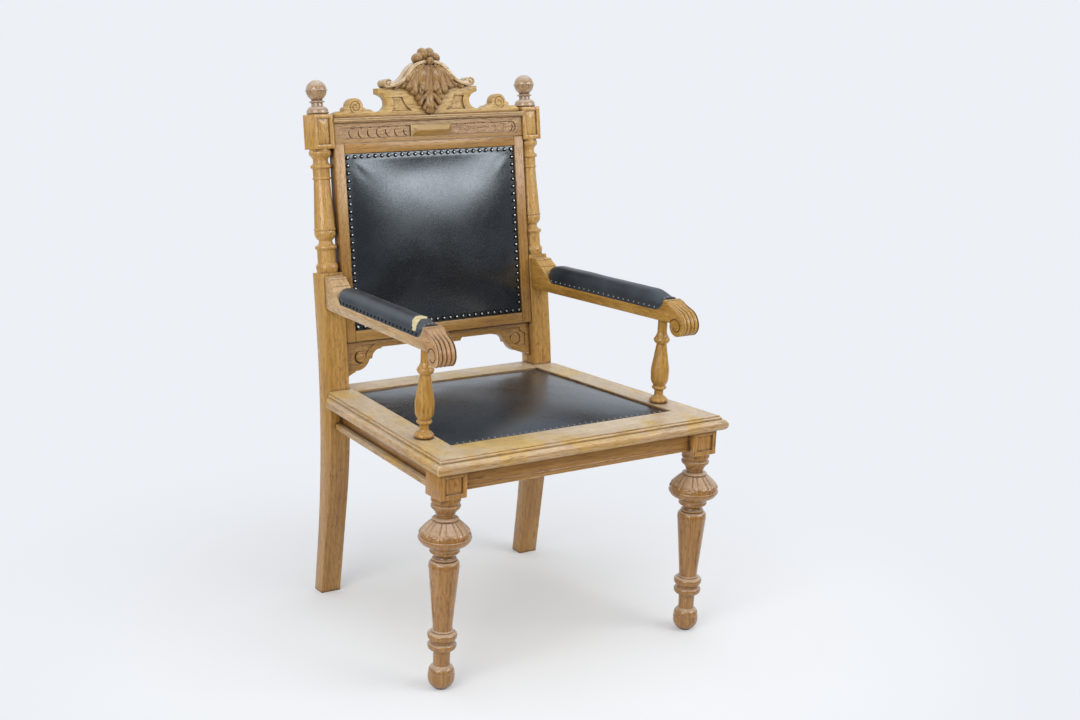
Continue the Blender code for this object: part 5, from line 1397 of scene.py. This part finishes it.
def arm_outline():
    """Side view of an arm from the post round the scroll and back, and where its reeds start and stop."""
    throat = SCROLL_Y + SCROLL_INNER_R + 0.006
    run = [(post_front(ARM_UNDER_REAR) - FIT, ARM_UNDER_REAR), (ARM_KINK, ARM_UNDER_REAR), (throat, arm_under(throat))]
    turns = 44
    for i in range(turns + 1):
        t = i / turns
        angle = math.radians(12 - 192 * t)
        radius = SCROLL_INNER_R + (SCROLL_OUTER_R - SCROLL_INNER_R) * t * t
        run.append((SCROLL_Y + radius * math.cos(angle), SCROLL_Z + radius * math.sin(angle)))
    start = 3 + round(turns * 0.34)
    run = path(run + moved([(0.0024, -0.0113, 0.0075), (0.0262, -0.0012, -0.0006)], SCROLL_Y, ARM_BROW))
    stop = len(run) - 1
    brow = [(0.0270, -0.0001), (0.0312, 0.0006), (0.0318, -0.0004), (0.0326, -0.0004), (0.0332, 0.0018),
            (0.0395, 0.0022), (0.0405, 0.0016, 0.0002)]
    heel = [(0.0372, -0.0146, -0.0006), (0.0376, -0.0157), (0.0384, -0.0152), (0.0387, -0.0126), (0.0540, -0.0036),
            (0.0543, -0.0046), (0.0551, -0.0042), (0.0554, -0.0010), (0.0570, -0.0003, 0.0003)]
    run += moved(brow, SCROLL_Y, ARM_BROW) + [(ARM_PAD_FRONT_Y, ARM_SEAT_FRONT, -0.0045), (ARM_HEEL_Y, ARM_SEAT_REAR)]
    run += moved(heel, ARM_HEEL_Y, ARM_HEEL_TOP) + [(post_front(ARM_HEEL_TOP) - FIT, ARM_HEEL_TOP)]
    return path(run), start, stop


def arm_body():
    """An arm with its eased sides and the reeds over its scroll."""
    outline, start, stop = arm_outline()
    drawn = inset(outline, 1.0e-3)
    inward = [(Vector(b) - Vector(a)) * 1000 for a, b in zip(outline, drawn)]
    across = [(-ARM_HALF, 0.0008), (-ARM_HALF + 0.0003, 0.0003), (-ARM_HALF + 0.0009, 0.0)]
    wide = (2 * ARM_HALF - 2 * REED_RIM) / REEDS
    for reed in range(REEDS):
        for share in (0.0, 0.03, 0.10, 0.25, 0.50, 0.75, 0.90, 0.97):
            across.append((-ARM_HALF + REED_RIM + wide * (reed + share), None))
    across.append((ARM_HALF - REED_RIM, None))
    across += [(ARM_HALF - 0.0009, 0.0), (ARM_HALF - 0.0003, 0.0003), (ARM_HALF, 0.0008)]
    loops = []
    for x, ease in across:
        loop = []
        for i, (y, z) in enumerate(outline):
            depth = ease or 0.0
            if ease is None and start <= i <= stop:
                share = ((x + ARM_HALF - REED_RIM) / wide) % 1.0
                fade = min(1.0, (i - start) / 5, (stop - i) / 3)
                depth = REED_DEPTH * abs(2 * share - 1) ** 3 * fade
            spot = Vector((y, z)) + inward[i] * depth
            loop.append((x, spot.x, spot.y))
        loops.append(loop)
    return loft(loops)


def spiral(centre, start_angle, turns, outer, inner, steps=48):
    """Points of a volute line that runs inward."""
    points = []
    for i in range(steps + 1):
        t = i / steps
        angle = start_angle + 2 * math.pi * turns * t
        radius = inner + (outer - inner) * (1 - t) ** 0.8
        points.append((centre[0] + radius * math.cos(angle), centre[1] + radius * math.sin(angle)))
    return points


def scroll_line():
    """The line cut into the side of a scroll: from the throat over the top and round to its inner end."""
    points = []
    for i in range(49):
        t = i / 48
        angle = math.radians(14 + 306 * t)
        radius = 0.0150 - 0.0075 * smooth((t - 0.45) / 0.55)
        points.append((SCROLL_Y + 0.0022 + radius * math.cos(angle), SCROLL_Z - 0.0004 + radius * math.sin(angle)))
    return points


def support_profile(height):
    """Height and radius of an arm support between seat and arm."""
    base = [(FIT, 0.0162), (0.0008, 0.0168), (0.0095, 0.0165, 0.0022),
            (0.0115, 0.0150), (0.0190, 0.0092, -0.0020), (0.0255, 0.0092), (0.0290, 0.0138),
            (0.0340, 0.0138, 0.0012), (0.0362, 0.0122), (0.0550, 0.0182, 0.0020), (0.0800, 0.0170, 0.0012)]
    head = [(-0.0520, 0.0102), (-0.0500, 0.0125), (-0.0445, 0.0160, 0.0006), (-0.0415, 0.0160, 0.0008),
            (-0.0360, 0.0125, 0.0006), (-0.0330, 0.0115), (-0.0250, 0.0098, -0.0006), (-FIT, 0.0096)]
    return base + moved(head, height)


def make_arms():
    seat_top = SEAT_HEIGHT - SEAT_FALL * (ARM_SUPPORT_Y - SUPPORT_FOOT)
    height = arm_under(ARM_SUPPORT_Y + 0.0096) - seat_top
    for name, side in SIDES:
        plane = arm_plane(side)
        arm = carved(arm_body(), pad_body(side, FIT, ARM_HEEL_Y - 0.002))
        for face in (-ARM_HALF, ARM_HALF):
            deep = face - math.copysign(0.0008, face)
            arm = carved(arm, tube([(deep, y, z) for y, z in scroll_line()], SCROLL_LINE_R))
        piece("scrolled_arm_" + name, arm, WORN_ARM if side < 0 else OAK["y"], ["arm_" + name], plane)
        spot = Matrix.Translation((side * arm_x(ARM_SUPPORT_Y), ARM_SUPPORT_Y, seat_top))
        piece("arm_baluster_" + name, turned(support_profile(height), 60), OAK["z"], ["arm_support_" + name], spot)
        make_arm_pad(name, side, plane)


BROW_START = (SCROLL_Y + 0.0405, ARM_BROW + 0.0016)
BROW_LINE = [BROW_START] + arc(BROW_START, (ARM_PAD_FRONT_Y, ARM_SEAT_FRONT), -0.0045)


def arm_top(y):
    """Height of the wood under a pad, also where the leather laps up the brow."""
    for a, b in zip(BROW_LINE, BROW_LINE[1:]):
        if a[0] <= y <= b[0]:
            return a[1] + (b[1] - a[1]) * (y - a[0]) / (b[0] - a[0])
    return arm_seat(y)


def pad_limits(y, rear, plump=0.0):
    """Half width, base and top of an arm pad at one place along it."""
    behind = rear - y
    lap = smooth((y - LAP_FRONT) / PAD_LAP_RUN)
    half = ARM_HALF * (0.86 + 0.14 * smooth((y - LAP_FRONT) / 0.022))
    base = arm_top(y) + FIT
    top = (ARM_BROW + 0.0050) * (1 - lap) + (arm_seat(max(y, ARM_PAD_FRONT_Y)) + ARM_PAD_HEIGHT + plump) * lap
    if behind < PAD_END_ROUND:
        half *= 0.30 + 0.70 * dome(1 - behind / PAD_END_ROUND)
    if behind < PAD_END_FALL:
        top = base + (top - base) * (0.55 + 0.45 * dome(1 - behind / PAD_END_FALL))
    return half, base, top


def pad_body(side, grow=0.0, front=LAP_FRONT, stations=84, steps=28):
    """A half-round arm pad, its rear end round in plan; grown, it is the tool for its seat in the heel."""
    rear = ARM_PAD_REAR_Y - FIT
    loops = []
    for i in range(stations + 1):
        y = front + (rear - front) * (1 - (1 - i / stations) ** 1.5)
        half, base, top = pad_limits(y, rear, PLUMP_RIGHT if side > 0 else 0.0)
        loop = []
        for n in range(steps + 1):
            angle = math.pi * n / steps
            across = math.copysign(abs(math.cos(angle)) ** 0.6, math.cos(angle))
            rise = (top - base) * abs(math.sin(angle)) ** 0.8
            tuck = lump = 0.0
            if not grow:
                tuck = 0.0012 * swelling(rise - 0.0045, 0.0025)
                spot = Vector((across * 0.6, y * 16 + side, rise * 30))
                lump = noise.noise(spot) * 0.0009 * smooth(rise / 0.012)
            x = (half + grow) * across - math.copysign(tuck, across)
            loop.append((x, y + grow * i / stations, base + rise * (1 + grow * 40) - grow * 2 + lump))
        loops.append(loop)
    return loft(loops)


def pad_height(x, y):
    """Height of an arm pad's leather at a place across and along it."""
    half, base, top = pad_limits(y, ARM_PAD_REAR_Y)
    level = min(1.0, abs(x) / half) ** (1 / 0.6)
    return base + (top - base) * dome(level) ** 0.8


def make_arm_pad(name, side, plane):
    pad = piece("arm_leather_" + name, pad_body(side), ARM_LEATHER, ["arm_pad_" + name], plane, SOFT)
    turn = plane.to_3x3()
    front = ARM_PAD_FRONT_Y
    reach = ARM_PAD_REAR_Y - front
    tacks = []
    for face in (-1, 1):
        for i in range(ARM_TACKS):
            y = front + 0.004 + (reach - 0.026) * i / (ARM_TACKS - 1)
            half = pad_limits(y, ARM_PAD_REAR_Y - FIT)[0]
            spot = Vector((face * (half * 0.985 - 0.0006), y, arm_seat(y) + 0.0048))
            tacks.append((plane @ spot, turn @ Vector((face, 0, 0.15))))
    head, finish = (BLACK_HEAD, BLACK_NAIL) if side < 0 else (BRIGHT_HEAD, SIDE_TACK)
    piece("arm_tacks_" + name, studs(tacks, *head), finish, angle=SOFT)
    brow_nails = []
    for i in range(BROW_NAILS):
        x = ARM_HALF * (-0.60 + 0.40 * i)
        y = LAP_FRONT + 0.0045
        brow_nails.append((plane @ Vector((x, y, pad_height(x, y) - 0.0003)), turn @ Vector((x * 12, -0.2, 1))))
    piece("brow_nails_" + name, studs(brow_nails, *TACK_HEAD), TOP_TACK, angle=SOFT)


# A tear across the left arm pad just behind the brow: places across and along the pad, sunk depth, half width
TEAR = ((-0.0050, 0.1220, 0.0, 0.0030), (0.0000, 0.1250, 0.0, 0.0070), (0.0060, 0.1275, 0.0, 0.0090),
        (0.0110, 0.1280, 0.0, 0.0110), (0.0150, 0.1260, 0.0005, 0.0105), (0.0178, 0.1230, 0.0015, 0.0085),
        (0.0188, 0.1200, 0.0065, 0.0050))


def make_stuffing():
    tufts = []
    steps = 5
    for n, (first, last) in enumerate(zip(TEAR, TEAR[1:])):
        for i in range(steps):
            x, y, down, wide = Vector(first).lerp(Vector(last), i / steps)
            wave = math.sin(5.1 * n + 2.3 * i)
            spot = (x + 0.0010 * wave, y + 0.0016 * math.cos(3.7 * n + 1.9 * i), pad_height(x, y) - down - 0.0004)
            tufts.append(lobe(spot, (0.0034, wide * (0.80 + 0.30 * wave), 0.0026 + 0.0005 * wave), 0.5 * wave, 12, 8))
    wad = melted(tufts, 0.0008, 1)
    for v in wad.verts:
        v.co += v.normal * 0.0014 * noise.noise(v.co * 460)
    piece("torn_stuffing", wad, STUFFING, place=arm_plane(-1), angle=70)


# Back frame, frieze and cornice

def make_back_frame():
    deep = (BACK_SETBACK, BACK_REAR)
    for name, side in SIDES:
        limits = sorted((side * OPENING_HALF, side * BACK_HALF))
        stile = beam(2, (BACK_LOW, BACK_HIGH), limits, deep)
        piece("panel_stile_" + name, stile, OAK_FRAME["z"], ["back_stile_" + name], BACK)
    end = OPENING_HALF - FIT
    for name, low, high in (("bottom", BACK_LOW, BACK_LOW + BACK_BOTTOM_RAIL),
                            ("top", BACK_HIGH - BACK_TOP_RAIL, BACK_HIGH)):
        rail = beam(0, (-end, end), deep, (low, high))
        piece("panel_%s_rail" % name, rail, OAK_FRAME["x"], ["back_%s_rail" % name], BACK)


def gouge(centre, radius, width, side, first, last):
    """Outline of a crescent cut with a gouge; angles are measured from the outward side."""
    outer = []
    inner = []
    for i in range(17):
        t = i / 16
        angle = math.radians(first + (last - first) * t)
        half = width / 2 * (0.12 + 0.88 * math.sin(math.pi * t) ** 0.8)
        for run, reach in ((outer, radius + half), (inner, radius - half)):
            run.append((centre[0] + side * reach * math.cos(angle), centre[1] + reach * math.sin(angle)))
    return outer + inner[::-1]


# Side, first cut from the boss, pitch of the cuts, and how much longer the sunk panel is
FRIEZE_PANELS = ((-1, 0.0080, 0.0213, 0.0060), (1, 0.0150, 0.0222, 0.0))


def make_frieze():
    """Two sunk panels with a row of gouge cuts, worn on the right but for the last, and the boss between them."""
    low = BACK_HIGH + FIT
    high = low + FRIEZE_HEIGHT
    middle = (low + high) / 2
    depth = FRIEZE_SETBACK
    end = POST_INNER - FIT
    rail = beam(0, (-end, end), (depth, depth + FRIEZE_THICK), (low, high), 0.0008)
    half = BOSS_HEIGHT / 2
    inner = BOSS_HALF_LENGTH - 0.002
    floor = depth + FRIEZE_PANEL_DEPTH
    cuts = []
    for side, first, pitch, longer in FRIEZE_PANELS:
        reach = end - 0.016 - half + longer
        panel = path([(inner, middle - half), (reach, middle - half), (reach, middle + half, -half * 0.98),
                      (inner, middle + half)])
        rail = carved(rail, prism(flipped(panel, side), depth - PANEL_DEPTH, floor, 1))
        for i in range(FRIEZE_CUTS):
            x = inner + first + pitch * i
            worn = side > 0 and i < FRIEZE_CUTS - 1
            cut = floor + (FRIEZE_WORN_DEPTH if worn else FRIEZE_CUT_DEPTH)
            cuts.append(prism(gouge((side * x, middle), half * 0.86, 0.0026, side, 38, -82), floor - 0.001, cut, 1))
            notch = moved([(0.0005, -0.0006), (0.0062, -0.0006), (0.0030, -0.0030)], x, middle + half)
            cuts.append(prism(flipped(notch, side), floor - 0.001, floor + 0.0016, 1))
    rail = carved(rail, gathered(cuts))
    piece("frieze", rail, FRIEZE, ["frieze_rail"], BACK)
    boss = []
    hip = BOSS_HEIGHT * 0.47
    for level, by in ((depth - FIT, 0), (depth - BOSS_PROUD * 0.10, 0), (depth - BOSS_PROUD * 0.14, 0.0003),
                      (depth - BOSS_PROUD * 0.97, hip - 0.0003), (depth - BOSS_PROUD, hip + 0.0003)):
        x = BOSS_HALF_LENGTH - by
        outline = rounded((-x, x), (middle - half + by, middle + half - by), 0.0005)
        boss.append(levelled(outline, level, 1))
    piece("frieze_hipped_boss", loft(boss), BOSS, ["frieze_boss"], BACK)


def make_cornice():
    end = POST_INNER - FIT
    front = CORNICE_FRONT
    rear = front + CORNICE_DEPTH
    high = CORNICE_LOW + CORNICE_HEIGHT
    face = [(0.0006, 0), (0, -0.0006, 0.0002), (0, -0.0030), (0.0016, -0.0036), (0.0016, -0.0042),
            (0.0016, -0.0074, -0.0014), (0.0040, -0.0078), (0.0040, -0.0088)]
    section = path([(rear, CORNICE_LOW), (rear, high)] + moved(face, front, high)
                   + [(front + 0.009, CORNICE_LOW, -0.0006)])
    piece("cornice_moulding", prism(apart(section), -end, end, 0), CORNICE, ["cornice"], BACK, CRISP)


# Crest

def hood_line():
    """Middle line of the hood's right half from the peak down to its scroll, and the scroll's centre."""
    rest = CREST_SHOULDER + FIT + HOOD_SCROLL_R
    turn = (HOOD_SCROLL_X * 0.477, HOOD_PEAK - 0.0200)
    end = (HOOD_SCROLL_X - HOOD_SCROLL_R, rest - HOOD_SCROLL_R * 0.55)
    return path([(0, HOOD_PEAK), turn + (0.0075,), end + (-0.0055,)]), (HOOD_SCROLL_X, rest)


def hood_outline():
    line, scroll = hood_line()
    roll = swept(scroll, (HOOD_SCROLL_R, HOOD_SCROLL_R), -110, 155, 33)
    thick = HOOD_THICK / 2
    upper = [p for p in offset(line, thick) if math.dist(p, scroll) > HOOD_SCROLL_R * 1.1]
    lower = [p for p in offset(line, -thick) if math.dist(p, scroll) > HOOD_SCROLL_R * 1.1]
    half = lower + roll + upper[::-1]
    half[0] = (0, half[0][1])
    half[-1] = (0, half[-1][1])
    return apart(mirrored(half))


def crest_outline():
    """Right half of the fretted crest board above the cornice, then mirrored."""
    end = CREST_END
    run = path([(0, 0), (end, 0), (end, 0.004), (end - 0.021, 0.0135, -0.0035), (end - 0.0265, 0.0135),
                (end - 0.0275, 0.0200)])
    round_top = VOLUTE_R * 1.06
    run += swept((VOLUTE_X, VOLUTE_K), (round_top, round_top), 6, 186, 27)
    run += [(VOLUTE_X - VOLUTE_R * 1.30, 0.0190), (VOLUTE_X - VOLUTE_R * 1.45, 0.0165)]
    run += swept((CREST_EAR + 0.003, 0.0275), (0.0230, 0.0180), 315, 117, 32)
    run += [(CREST_EAR, CREST_SHOULDER - EAR_HEIGHT), (CREST_EAR, CREST_SHOULDER)]
    line, scroll = hood_line()
    under = offset(line, -HOOD_THICK / 2 - FIT)
    rest = [p for p in under if p[1] > CREST_SHOULDER + FIT and math.dist(p, scroll) > HOOD_SCROLL_R * 1.1]
    run.append((rest[-1][0], CREST_SHOULDER))
    run += rest[::-1]
    run[-1] = (0, run[-1][1])
    return apart(mirrored(run))


def crest_panel(side):
    """The tool for the sunk panel beside the leaf."""
    low = 0.0100
    high = CREST_SHOULDER * 0.68
    run = path([(0.0400, low), (0.0900, low), (0.0875, high, 0.0045), (0.0620, high), (0.0400, low, 0.0045)])
    return prism(flipped(run[:-1], side), CREST_FRONT - PANEL_DEPTH, CREST_FRONT + CREST_PANEL_DEPTH, 1)


def across_face(points, d):
    """A thin rod along a line in a face towards -Y: the tool for a groove."""
    loops = []
    for (x, k), along in zip(points, headings(points)):
        ring = []
        for angle in full_turn(8):
            reach = VOLUTE_LINE_R * math.cos(angle)
            ring.append((x - along.y * reach, d + VOLUTE_LINE_R * math.sin(angle), k + along.x * reach))
        loops.append(ring)
    return loft(loops)


def make_crest():
    crest = board(crest_outline(), CREST_FRONT, CREST_FRONT + CREST_THICK, 1, 0.0010)
    for side in (-1, 1):
        crest = carved(crest, crest_panel(side))
        volute = spiral((VOLUTE_X, VOLUTE_K), math.radians(-65), 1.6, 0.0135, 0.0022)
        crest = carved(crest, across_face(flipped(volute, side), CREST_FRONT))
    piece("crest_fretwork", crest, CREST_BOARD, ["crest_board"], CREST)
    outline = hood_outline()
    loops = []
    for d, by in ((0, 0.0010), (0.0003, 0.0003), (0.0009, 0.0), (0.0050, 0.0), (0.0056, 0.0012), (0.0120, 0.0012),
                  (0.0126, 0.0002), (HOOD_DEPTH - 0.0010, 0.0002), (HOOD_DEPTH, 0.0012)):
        loops.append(levelled(inset(outline, by) if by else outline, HOOD_FRONT + d, 1))
    hood = loft(loops)
    roll = spiral(hood_line()[1], math.radians(150), -1.0, 0.0066, 0.0026, 32)
    for side in (-1, 1):
        hood = carved(hood, across_face(flipped(roll, side), HOOD_FRONT))
    piece("swan_neck_hood", hood, HOOD, ["crest_hood"], CREST)
    make_leaf()
    make_shell()


def leaflet(root, tip, wide, rise, bow=0.0, steps=22, across=12):
    """A carved leaflet on the crest board: round-backed, with a vein, its end curled outward."""
    a = Vector(root)
    b = Vector(tip)
    along = (b - a).normalized()
    side = Vector((-along.y, along.x))
    loops = []
    for i in range(steps + 1):
        t = i / steps
        centre = a.lerp(b, t) + side * (bow * 4 * t * (1 - t))
        if t < 0.7:
            half = wide * (0.55 + 0.45 * math.sin(math.pi / 2 * t / 0.7))
        else:
            half = wide * dome((t - 0.7) / 0.305)
        height = rise[0] + (rise[1] - rise[0]) * t + 0.0052 * swelling(t - 0.88, 0.10)
        height *= 1.0 if t < 0.9 else 1 - 0.55 * ((t - 0.9) / 0.1) ** 2
        loop = []
        for j in range(across + 1):
            u = -1 + 2 * j / across
            spot = centre + side * (half * u)
            shape = 1 - 0.62 * abs(u) ** 2.4 - 0.20 * swelling(u, 0.22) * (1 - t)
            loop.append((spot.x, CREST_FRONT - height * shape, spot.y))
        for u in (1, -1):
            spot = centre + side * (half * u)
            loop.append((spot.x, CREST_FRONT + 0.0010, spot.y))
        loops.append(loop)
    return loft(loops)


# Right half of the leaf: root, tip, half width, rise over the board at root and tip, bow
LEAFLETS = (((0.006, 0.100), (0.0185, 0.0470), 0.0084, (0.0115, 0.0080), 0.0020),
            ((0.013, 0.104), (0.0370, 0.0410), 0.0100, (0.0128, 0.0095), 0.0060),
            ((0.020, 0.102), (0.0510, 0.0510), 0.0082, (0.0118, 0.0085), 0.0065),
            ((0.026, 0.097), (0.0570, 0.0690), 0.0096, (0.0105, 0.0120), 0.0040),
            ((0.040, 0.082), (0.0670, 0.0570), 0.0058, (0.0080, 0.0075), 0.0012),
            ((0.052, 0.072), (0.0840, 0.0545), 0.0052, (0.0070, 0.0065), 0.0015),
            ((0.010, 0.068), (0.0120, 0.0475), 0.0044, (0.0095, 0.0080), 0.0005),
            ((0.019, 0.066), (0.0245, 0.0415), 0.0047, (0.0110, 0.0095), 0.0010),
            ((0.032, 0.066), (0.0440, 0.0425), 0.0046, (0.0105, 0.0090), 0.0020),
            ((0.041, 0.074), (0.0560, 0.0540), 0.0044, (0.0100, 0.0085), 0.0020),
            ((0.003, 0.058), (0.0318, 0.0305), 0.0070, (0.0095, 0.0085), 0.0045),
            ((0.003, 0.046), (0.0262, 0.0195), 0.0060, (0.0090, 0.0075), 0.0030),
            ((0.002, 0.032), (0.0162, 0.0095), 0.0052, (0.0085, 0.0060), 0.0015))


def make_leaf():
    bodies = [leaflet((0, 0.1040), (0, 0.0050), 0.0100, (0.0145, 0.0085)),
              lobe((0, CREST_FRONT - 0.0015, 0.0090), (0.0108, 0.0075, 0.0088)),
              lobe((0, CREST_FRONT - 0.0030, 0.1005), (0.0160, 0.0080, 0.0050))]
    for side in (-1, 1):
        bodies.append(lobe((side * 0.0190, CREST_FRONT, 0.0830), (0.0250, 0.0106, 0.0260), side * 0.55))
        for root, tip, wide, rise, bow in LEAFLETS:
            root, tip = flipped((root, tip), side)
            bodies.append(leaflet(root, tip, wide, rise, side * bow))
    piece("acanthus_leaf", melted(bodies, 0.0009, 1), LEAF, ["crest_leaf"], CREST, SOFT)


def make_shell():
    middle = HOOD_FRONT + HOOD_DEPTH * 0.45
    peak = HOOD_PEAK
    bodies = [lobe((0, middle, peak + 0.0040), (0.0225, 0.0125, 0.0085)),
              lobe((0, HOOD_FRONT - 0.0035, peak + 0.0020), (0.0078, 0.0088, 0.0082))]
    for side in (-1, 1):
        bodies.append(lobe((side * 0.0070, middle, peak + 0.0165), (0.0102, 0.0160, 0.0142), side * 0.30))
        bodies.append(lobe((side * 0.0205, middle, peak + 0.0095), (0.0120, 0.0158, 0.0100), side * 0.55))
    piece("peak_shell", melted(bodies, 0.0009, 2), LEAF, ["crest_shell"], CREST, SOFT)


# Lower back rail

def make_lower_rail():
    """A board with a shaped bracket at each end, and in each bracket a sunk field with a turned boss."""
    end = POST_INNER - FIT
    root = end - BRACKET_LENGTH
    edge = LOWER_RAIL_EDGE
    top = BACK_LOW - FIT
    drop = edge - LOWER_RAIL_DROP
    bracket = [(-0.0080, 0), (-0.0075, -0.0025), (-0.0055, -0.0030), (0.0157, -0.0215, 0.0058), (0.0218, -0.0224),
               (0.0560, -0.0440, -0.0068), (0.0565, -0.0468), (0.0600, -0.0474)]
    half = path([(0, drop), (0.052, drop), (0.062, edge, 0.0030)] + moved(bracket, root, edge)
                + [(end, BRACKET_TIP, 0.0008), (end, top), (0, top)])
    front = LOWER_RAIL_SETBACK
    before = front - 0.004
    floor = front + BRACKET_FIELD_DEPTH
    rail = board(mirrored(half), front, front + LOWER_RAIL_THICK, 1, 0.0010)
    field = path([(root + 0.0040, edge + 0.0084), (end - 0.0255, edge + 0.0084), (end - 0.0117, edge - 0.0050, -0.0040),
                  (end - 0.0115, edge - 0.0325), (end - 0.0300, edge - 0.0330), (root + 0.0300, edge - 0.0160, 0.0030),
                  (root + 0.0040, edge + 0.0084, -0.0046)])
    eye = [(-0.0006, 0.0112), (0.0022, 0.0112), (0.0036, 0.0098, 0.0004), (0.0038, 0.0076), (0.0030, 0.0060, -0.0003),
           (0.0034, 0.0030, 0.0003), (0.0036, 0.0004, 0.0001)]
    boss = (root + 0.0424, edge - 0.0159)
    rounds = []
    for side in (-1, 1):
        rail = carved(rail, prism(flipped(field[:-1], side), before, floor, 1))
        groove = gouge((side * boss[0], boss[1]), 0.0126, 0.0034, side, 80, -95)
        rail = carved(rail, prism(groove, before, floor + 0.0035, 1))
        spot = Matrix.Translation((side * boss[0], floor, boss[1])) @ Matrix.Rotation(math.pi / 2, 4, 'X')
        rounds.append(shifted(turned(eye, 48), spot))
    piece("bracketed_lower_rail", gathered([rail] + rounds), LOWER_RAIL, ["lower_back_rail"], BACK)


def make_corner_blocks():
    """The blocks inside the rails keep their solids and take a finish."""
    for where in ("front_left", "front_right", "rear_left", "rear_right"):
        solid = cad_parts["corner_block_" + where]
        solid.data.materials.clear()
        solid.data.materials.append(PINE)


# Studio

FAR_FLOOR = (0.845, 0.872, 0.918, 1)
DIM_ROOM = (0.045, 0.047, 0.050, 1)


def floor_finish():
    """Pale floor that keeps the chair's shadow near it, fades into the backdrop and mirrors dimly in front."""
    made, tree, shader, place = start_material("pale_floor")
    mottle = speckle(tree, place, 1.6, 3.0, 0.5)
    pale = mixed(tree, span(tree, mottle, 0.3, 0.7), (0.815, 0.820, 0.815, 1), (0.850, 0.855, 0.850, 1))
    feed(tree, shader.inputs["Base Color"], pale)
    shader.inputs["Roughness"].default_value = 0.75
    shader.inputs["Specular IOR Level"].default_value = 0.2
    away = add(tree, "VectorMath", {0: place}, operation='LENGTH').outputs["Value"]
    light = add(tree, "LightPath").outputs
    spot = add(tree, "SeparateXYZ", {"Vector": place}).outputs
    aside = calc(tree, 'MAXIMUM', span(tree, spot["Y"], -0.3, -1.1), span(tree, spot["X"], -0.7, -1.5))
    dim = add(tree, "Emission", {"Color": DIM_ROOM})
    mirrored_front = times(tree, aside, light["Is Glossy Ray"])
    near = add(tree, "MixShader", {0: mirrored_front, 1: shader.outputs[0], 2: dim.outputs[0]})
    backdrop = add(tree, "Emission", {"Color": FAR_FLOOR})
    share = times(tree, span(tree, away, 0.20, 1.1), light["Is Camera Ray"])
    both = add(tree, "MixShader", {0: share, 1: near.outputs[0], 2: backdrop.outputs[0]})
    tree.links.new(both.outputs[0], tree.nodes["Material Output"].inputs["Surface"])
    return made


def make_world():
    """A pale room: bright behind and above the chair, dimmer low down in front of it."""
    world = bpy.data.worlds.new("studio")
    bpy.context.scene.world = world
    world.use_nodes = True
    tree = world.node_tree
    room = tree.nodes["Background"]
    way = add(tree, "SeparateXYZ", {"Vector": add(tree, "TexCoord").outputs["Generated"]})
    light = add(tree, "LightPath").outputs
    front = span(tree, way.outputs["Y"], 0.3, -0.5)
    low = span(tree, way.outputs["Z"], 0.55, 0.05)
    level = mixed(tree, times(tree, front, low), (0.72, 0.74, 0.77, 1), (0.27, 0.28, 0.30, 1))
    band = times(tree, span(tree, way.outputs["Z"], 0.10, 0.34), span(tree, way.outputs["Z"], 0.66, 0.44))
    windows = mixed(tree, band, DIM_ROOM, (0.56, 0.60, 0.66, 1))
    ahead = span(tree, way.outputs["Y"], -0.25, -0.75)
    level = mixed(tree, times(tree, ahead, light["Is Glossy Ray"]), level, windows)
    level = mixed(tree, times(tree, calc(tree, 'SUBTRACT', 1.0, front), low), level, (0.92, 0.95, 1.0, 1))
    feed(tree, room.inputs["Color"], level)
    backdrop = add(tree, "Background", {"Color": FAR_FLOOR})
    both = add(tree, "MixShader", {0: light["Is Camera Ray"], 1: room.outputs[0], 2: backdrop.outputs[0]})
    tree.links.new(both.outputs[0], tree.nodes["World Output"].inputs["Surface"])


# Name, place, what it is aimed at, size, power
LAMPS = (("over", (0.2, -0.3, 3.3), (0, 0, 0.5), (2.6, 2.6), 10.0),
         ("left_front", (-3.0, -1.7, 2.0), (0, 0, 0.6), (2.2, 2.2), 66.0),
         ("right_front", (1.9, -2.5, 2.2), (0, 0.2, 0.75), (2.4, 1.1), 47.0))


def make_studio():
    bm = bmesh.new()
    bmesh.ops.create_grid(bm, x_segments=2, y_segments=2, size=30.0)
    floor = loose("floor", bm)
    floor.data.materials.append(floor_finish())
    make_world()
    for name, spot, aim, size, power in LAMPS:
        lamp = bpy.data.lights.new(name, 'AREA')
        lamp.shape = 'RECTANGLE'
        lamp.size, lamp.size_y = size
        lamp.energy = power
        holder = bpy.data.objects.new(name, lamp)
        bpy.context.collection.objects.link(holder)
        holder.location = spot
        holder.rotation_euler = (Vector(aim) - Vector(spot)).to_track_quat('-Z', 'Y').to_euler()


def make_camera():
    """The photograph's camera."""
    lens = bpy.data.cameras.new("camera")
    lens.sensor_width = 36.0
    lens.lens = FOCAL_PIXELS / PHOTO_WIDTH * lens.sensor_width
    lens.clip_end = 200.0
    turn, pitch, roll = CAMERA_TURN, CAMERA_PITCH, CAMERA_ROLL
    back = Vector((math.sin(turn) * math.cos(pitch), -math.cos(turn) * math.cos(pitch), math.sin(pitch)))
    right = Vector((math.cos(turn), math.sin(turn), 0))
    up = back.cross(right)
    level_right = right * math.cos(roll) + up * math.sin(roll)
    level_up = up * math.cos(roll) - right * math.sin(roll)
    stand = Matrix((level_right, level_up, back)).transposed().to_4x4()
    camera = bpy.data.objects.new("camera", lens)
    bpy.context.collection.objects.link(camera)
    camera.matrix_world = HOME @ Matrix.Translation(CAMERA_SPOT) @ stand
    bpy.context.scene.camera = camera


make_camera()
make_studio()
make_front_legs()
make_rear_posts()
make_rails()
make_seat_frame()
make_seat_pad()
make_seat_tacks()
make_webbing()
make_arms()
make_stuffing()
make_back_frame()
make_back_pad()
make_rear_cover()
make_back_nails()
make_frieze()
make_cornice()
make_crest()
make_lower_rail()
make_corner_blocks()

bpy.context.scene.view_settings.view_transform = 'Standard'
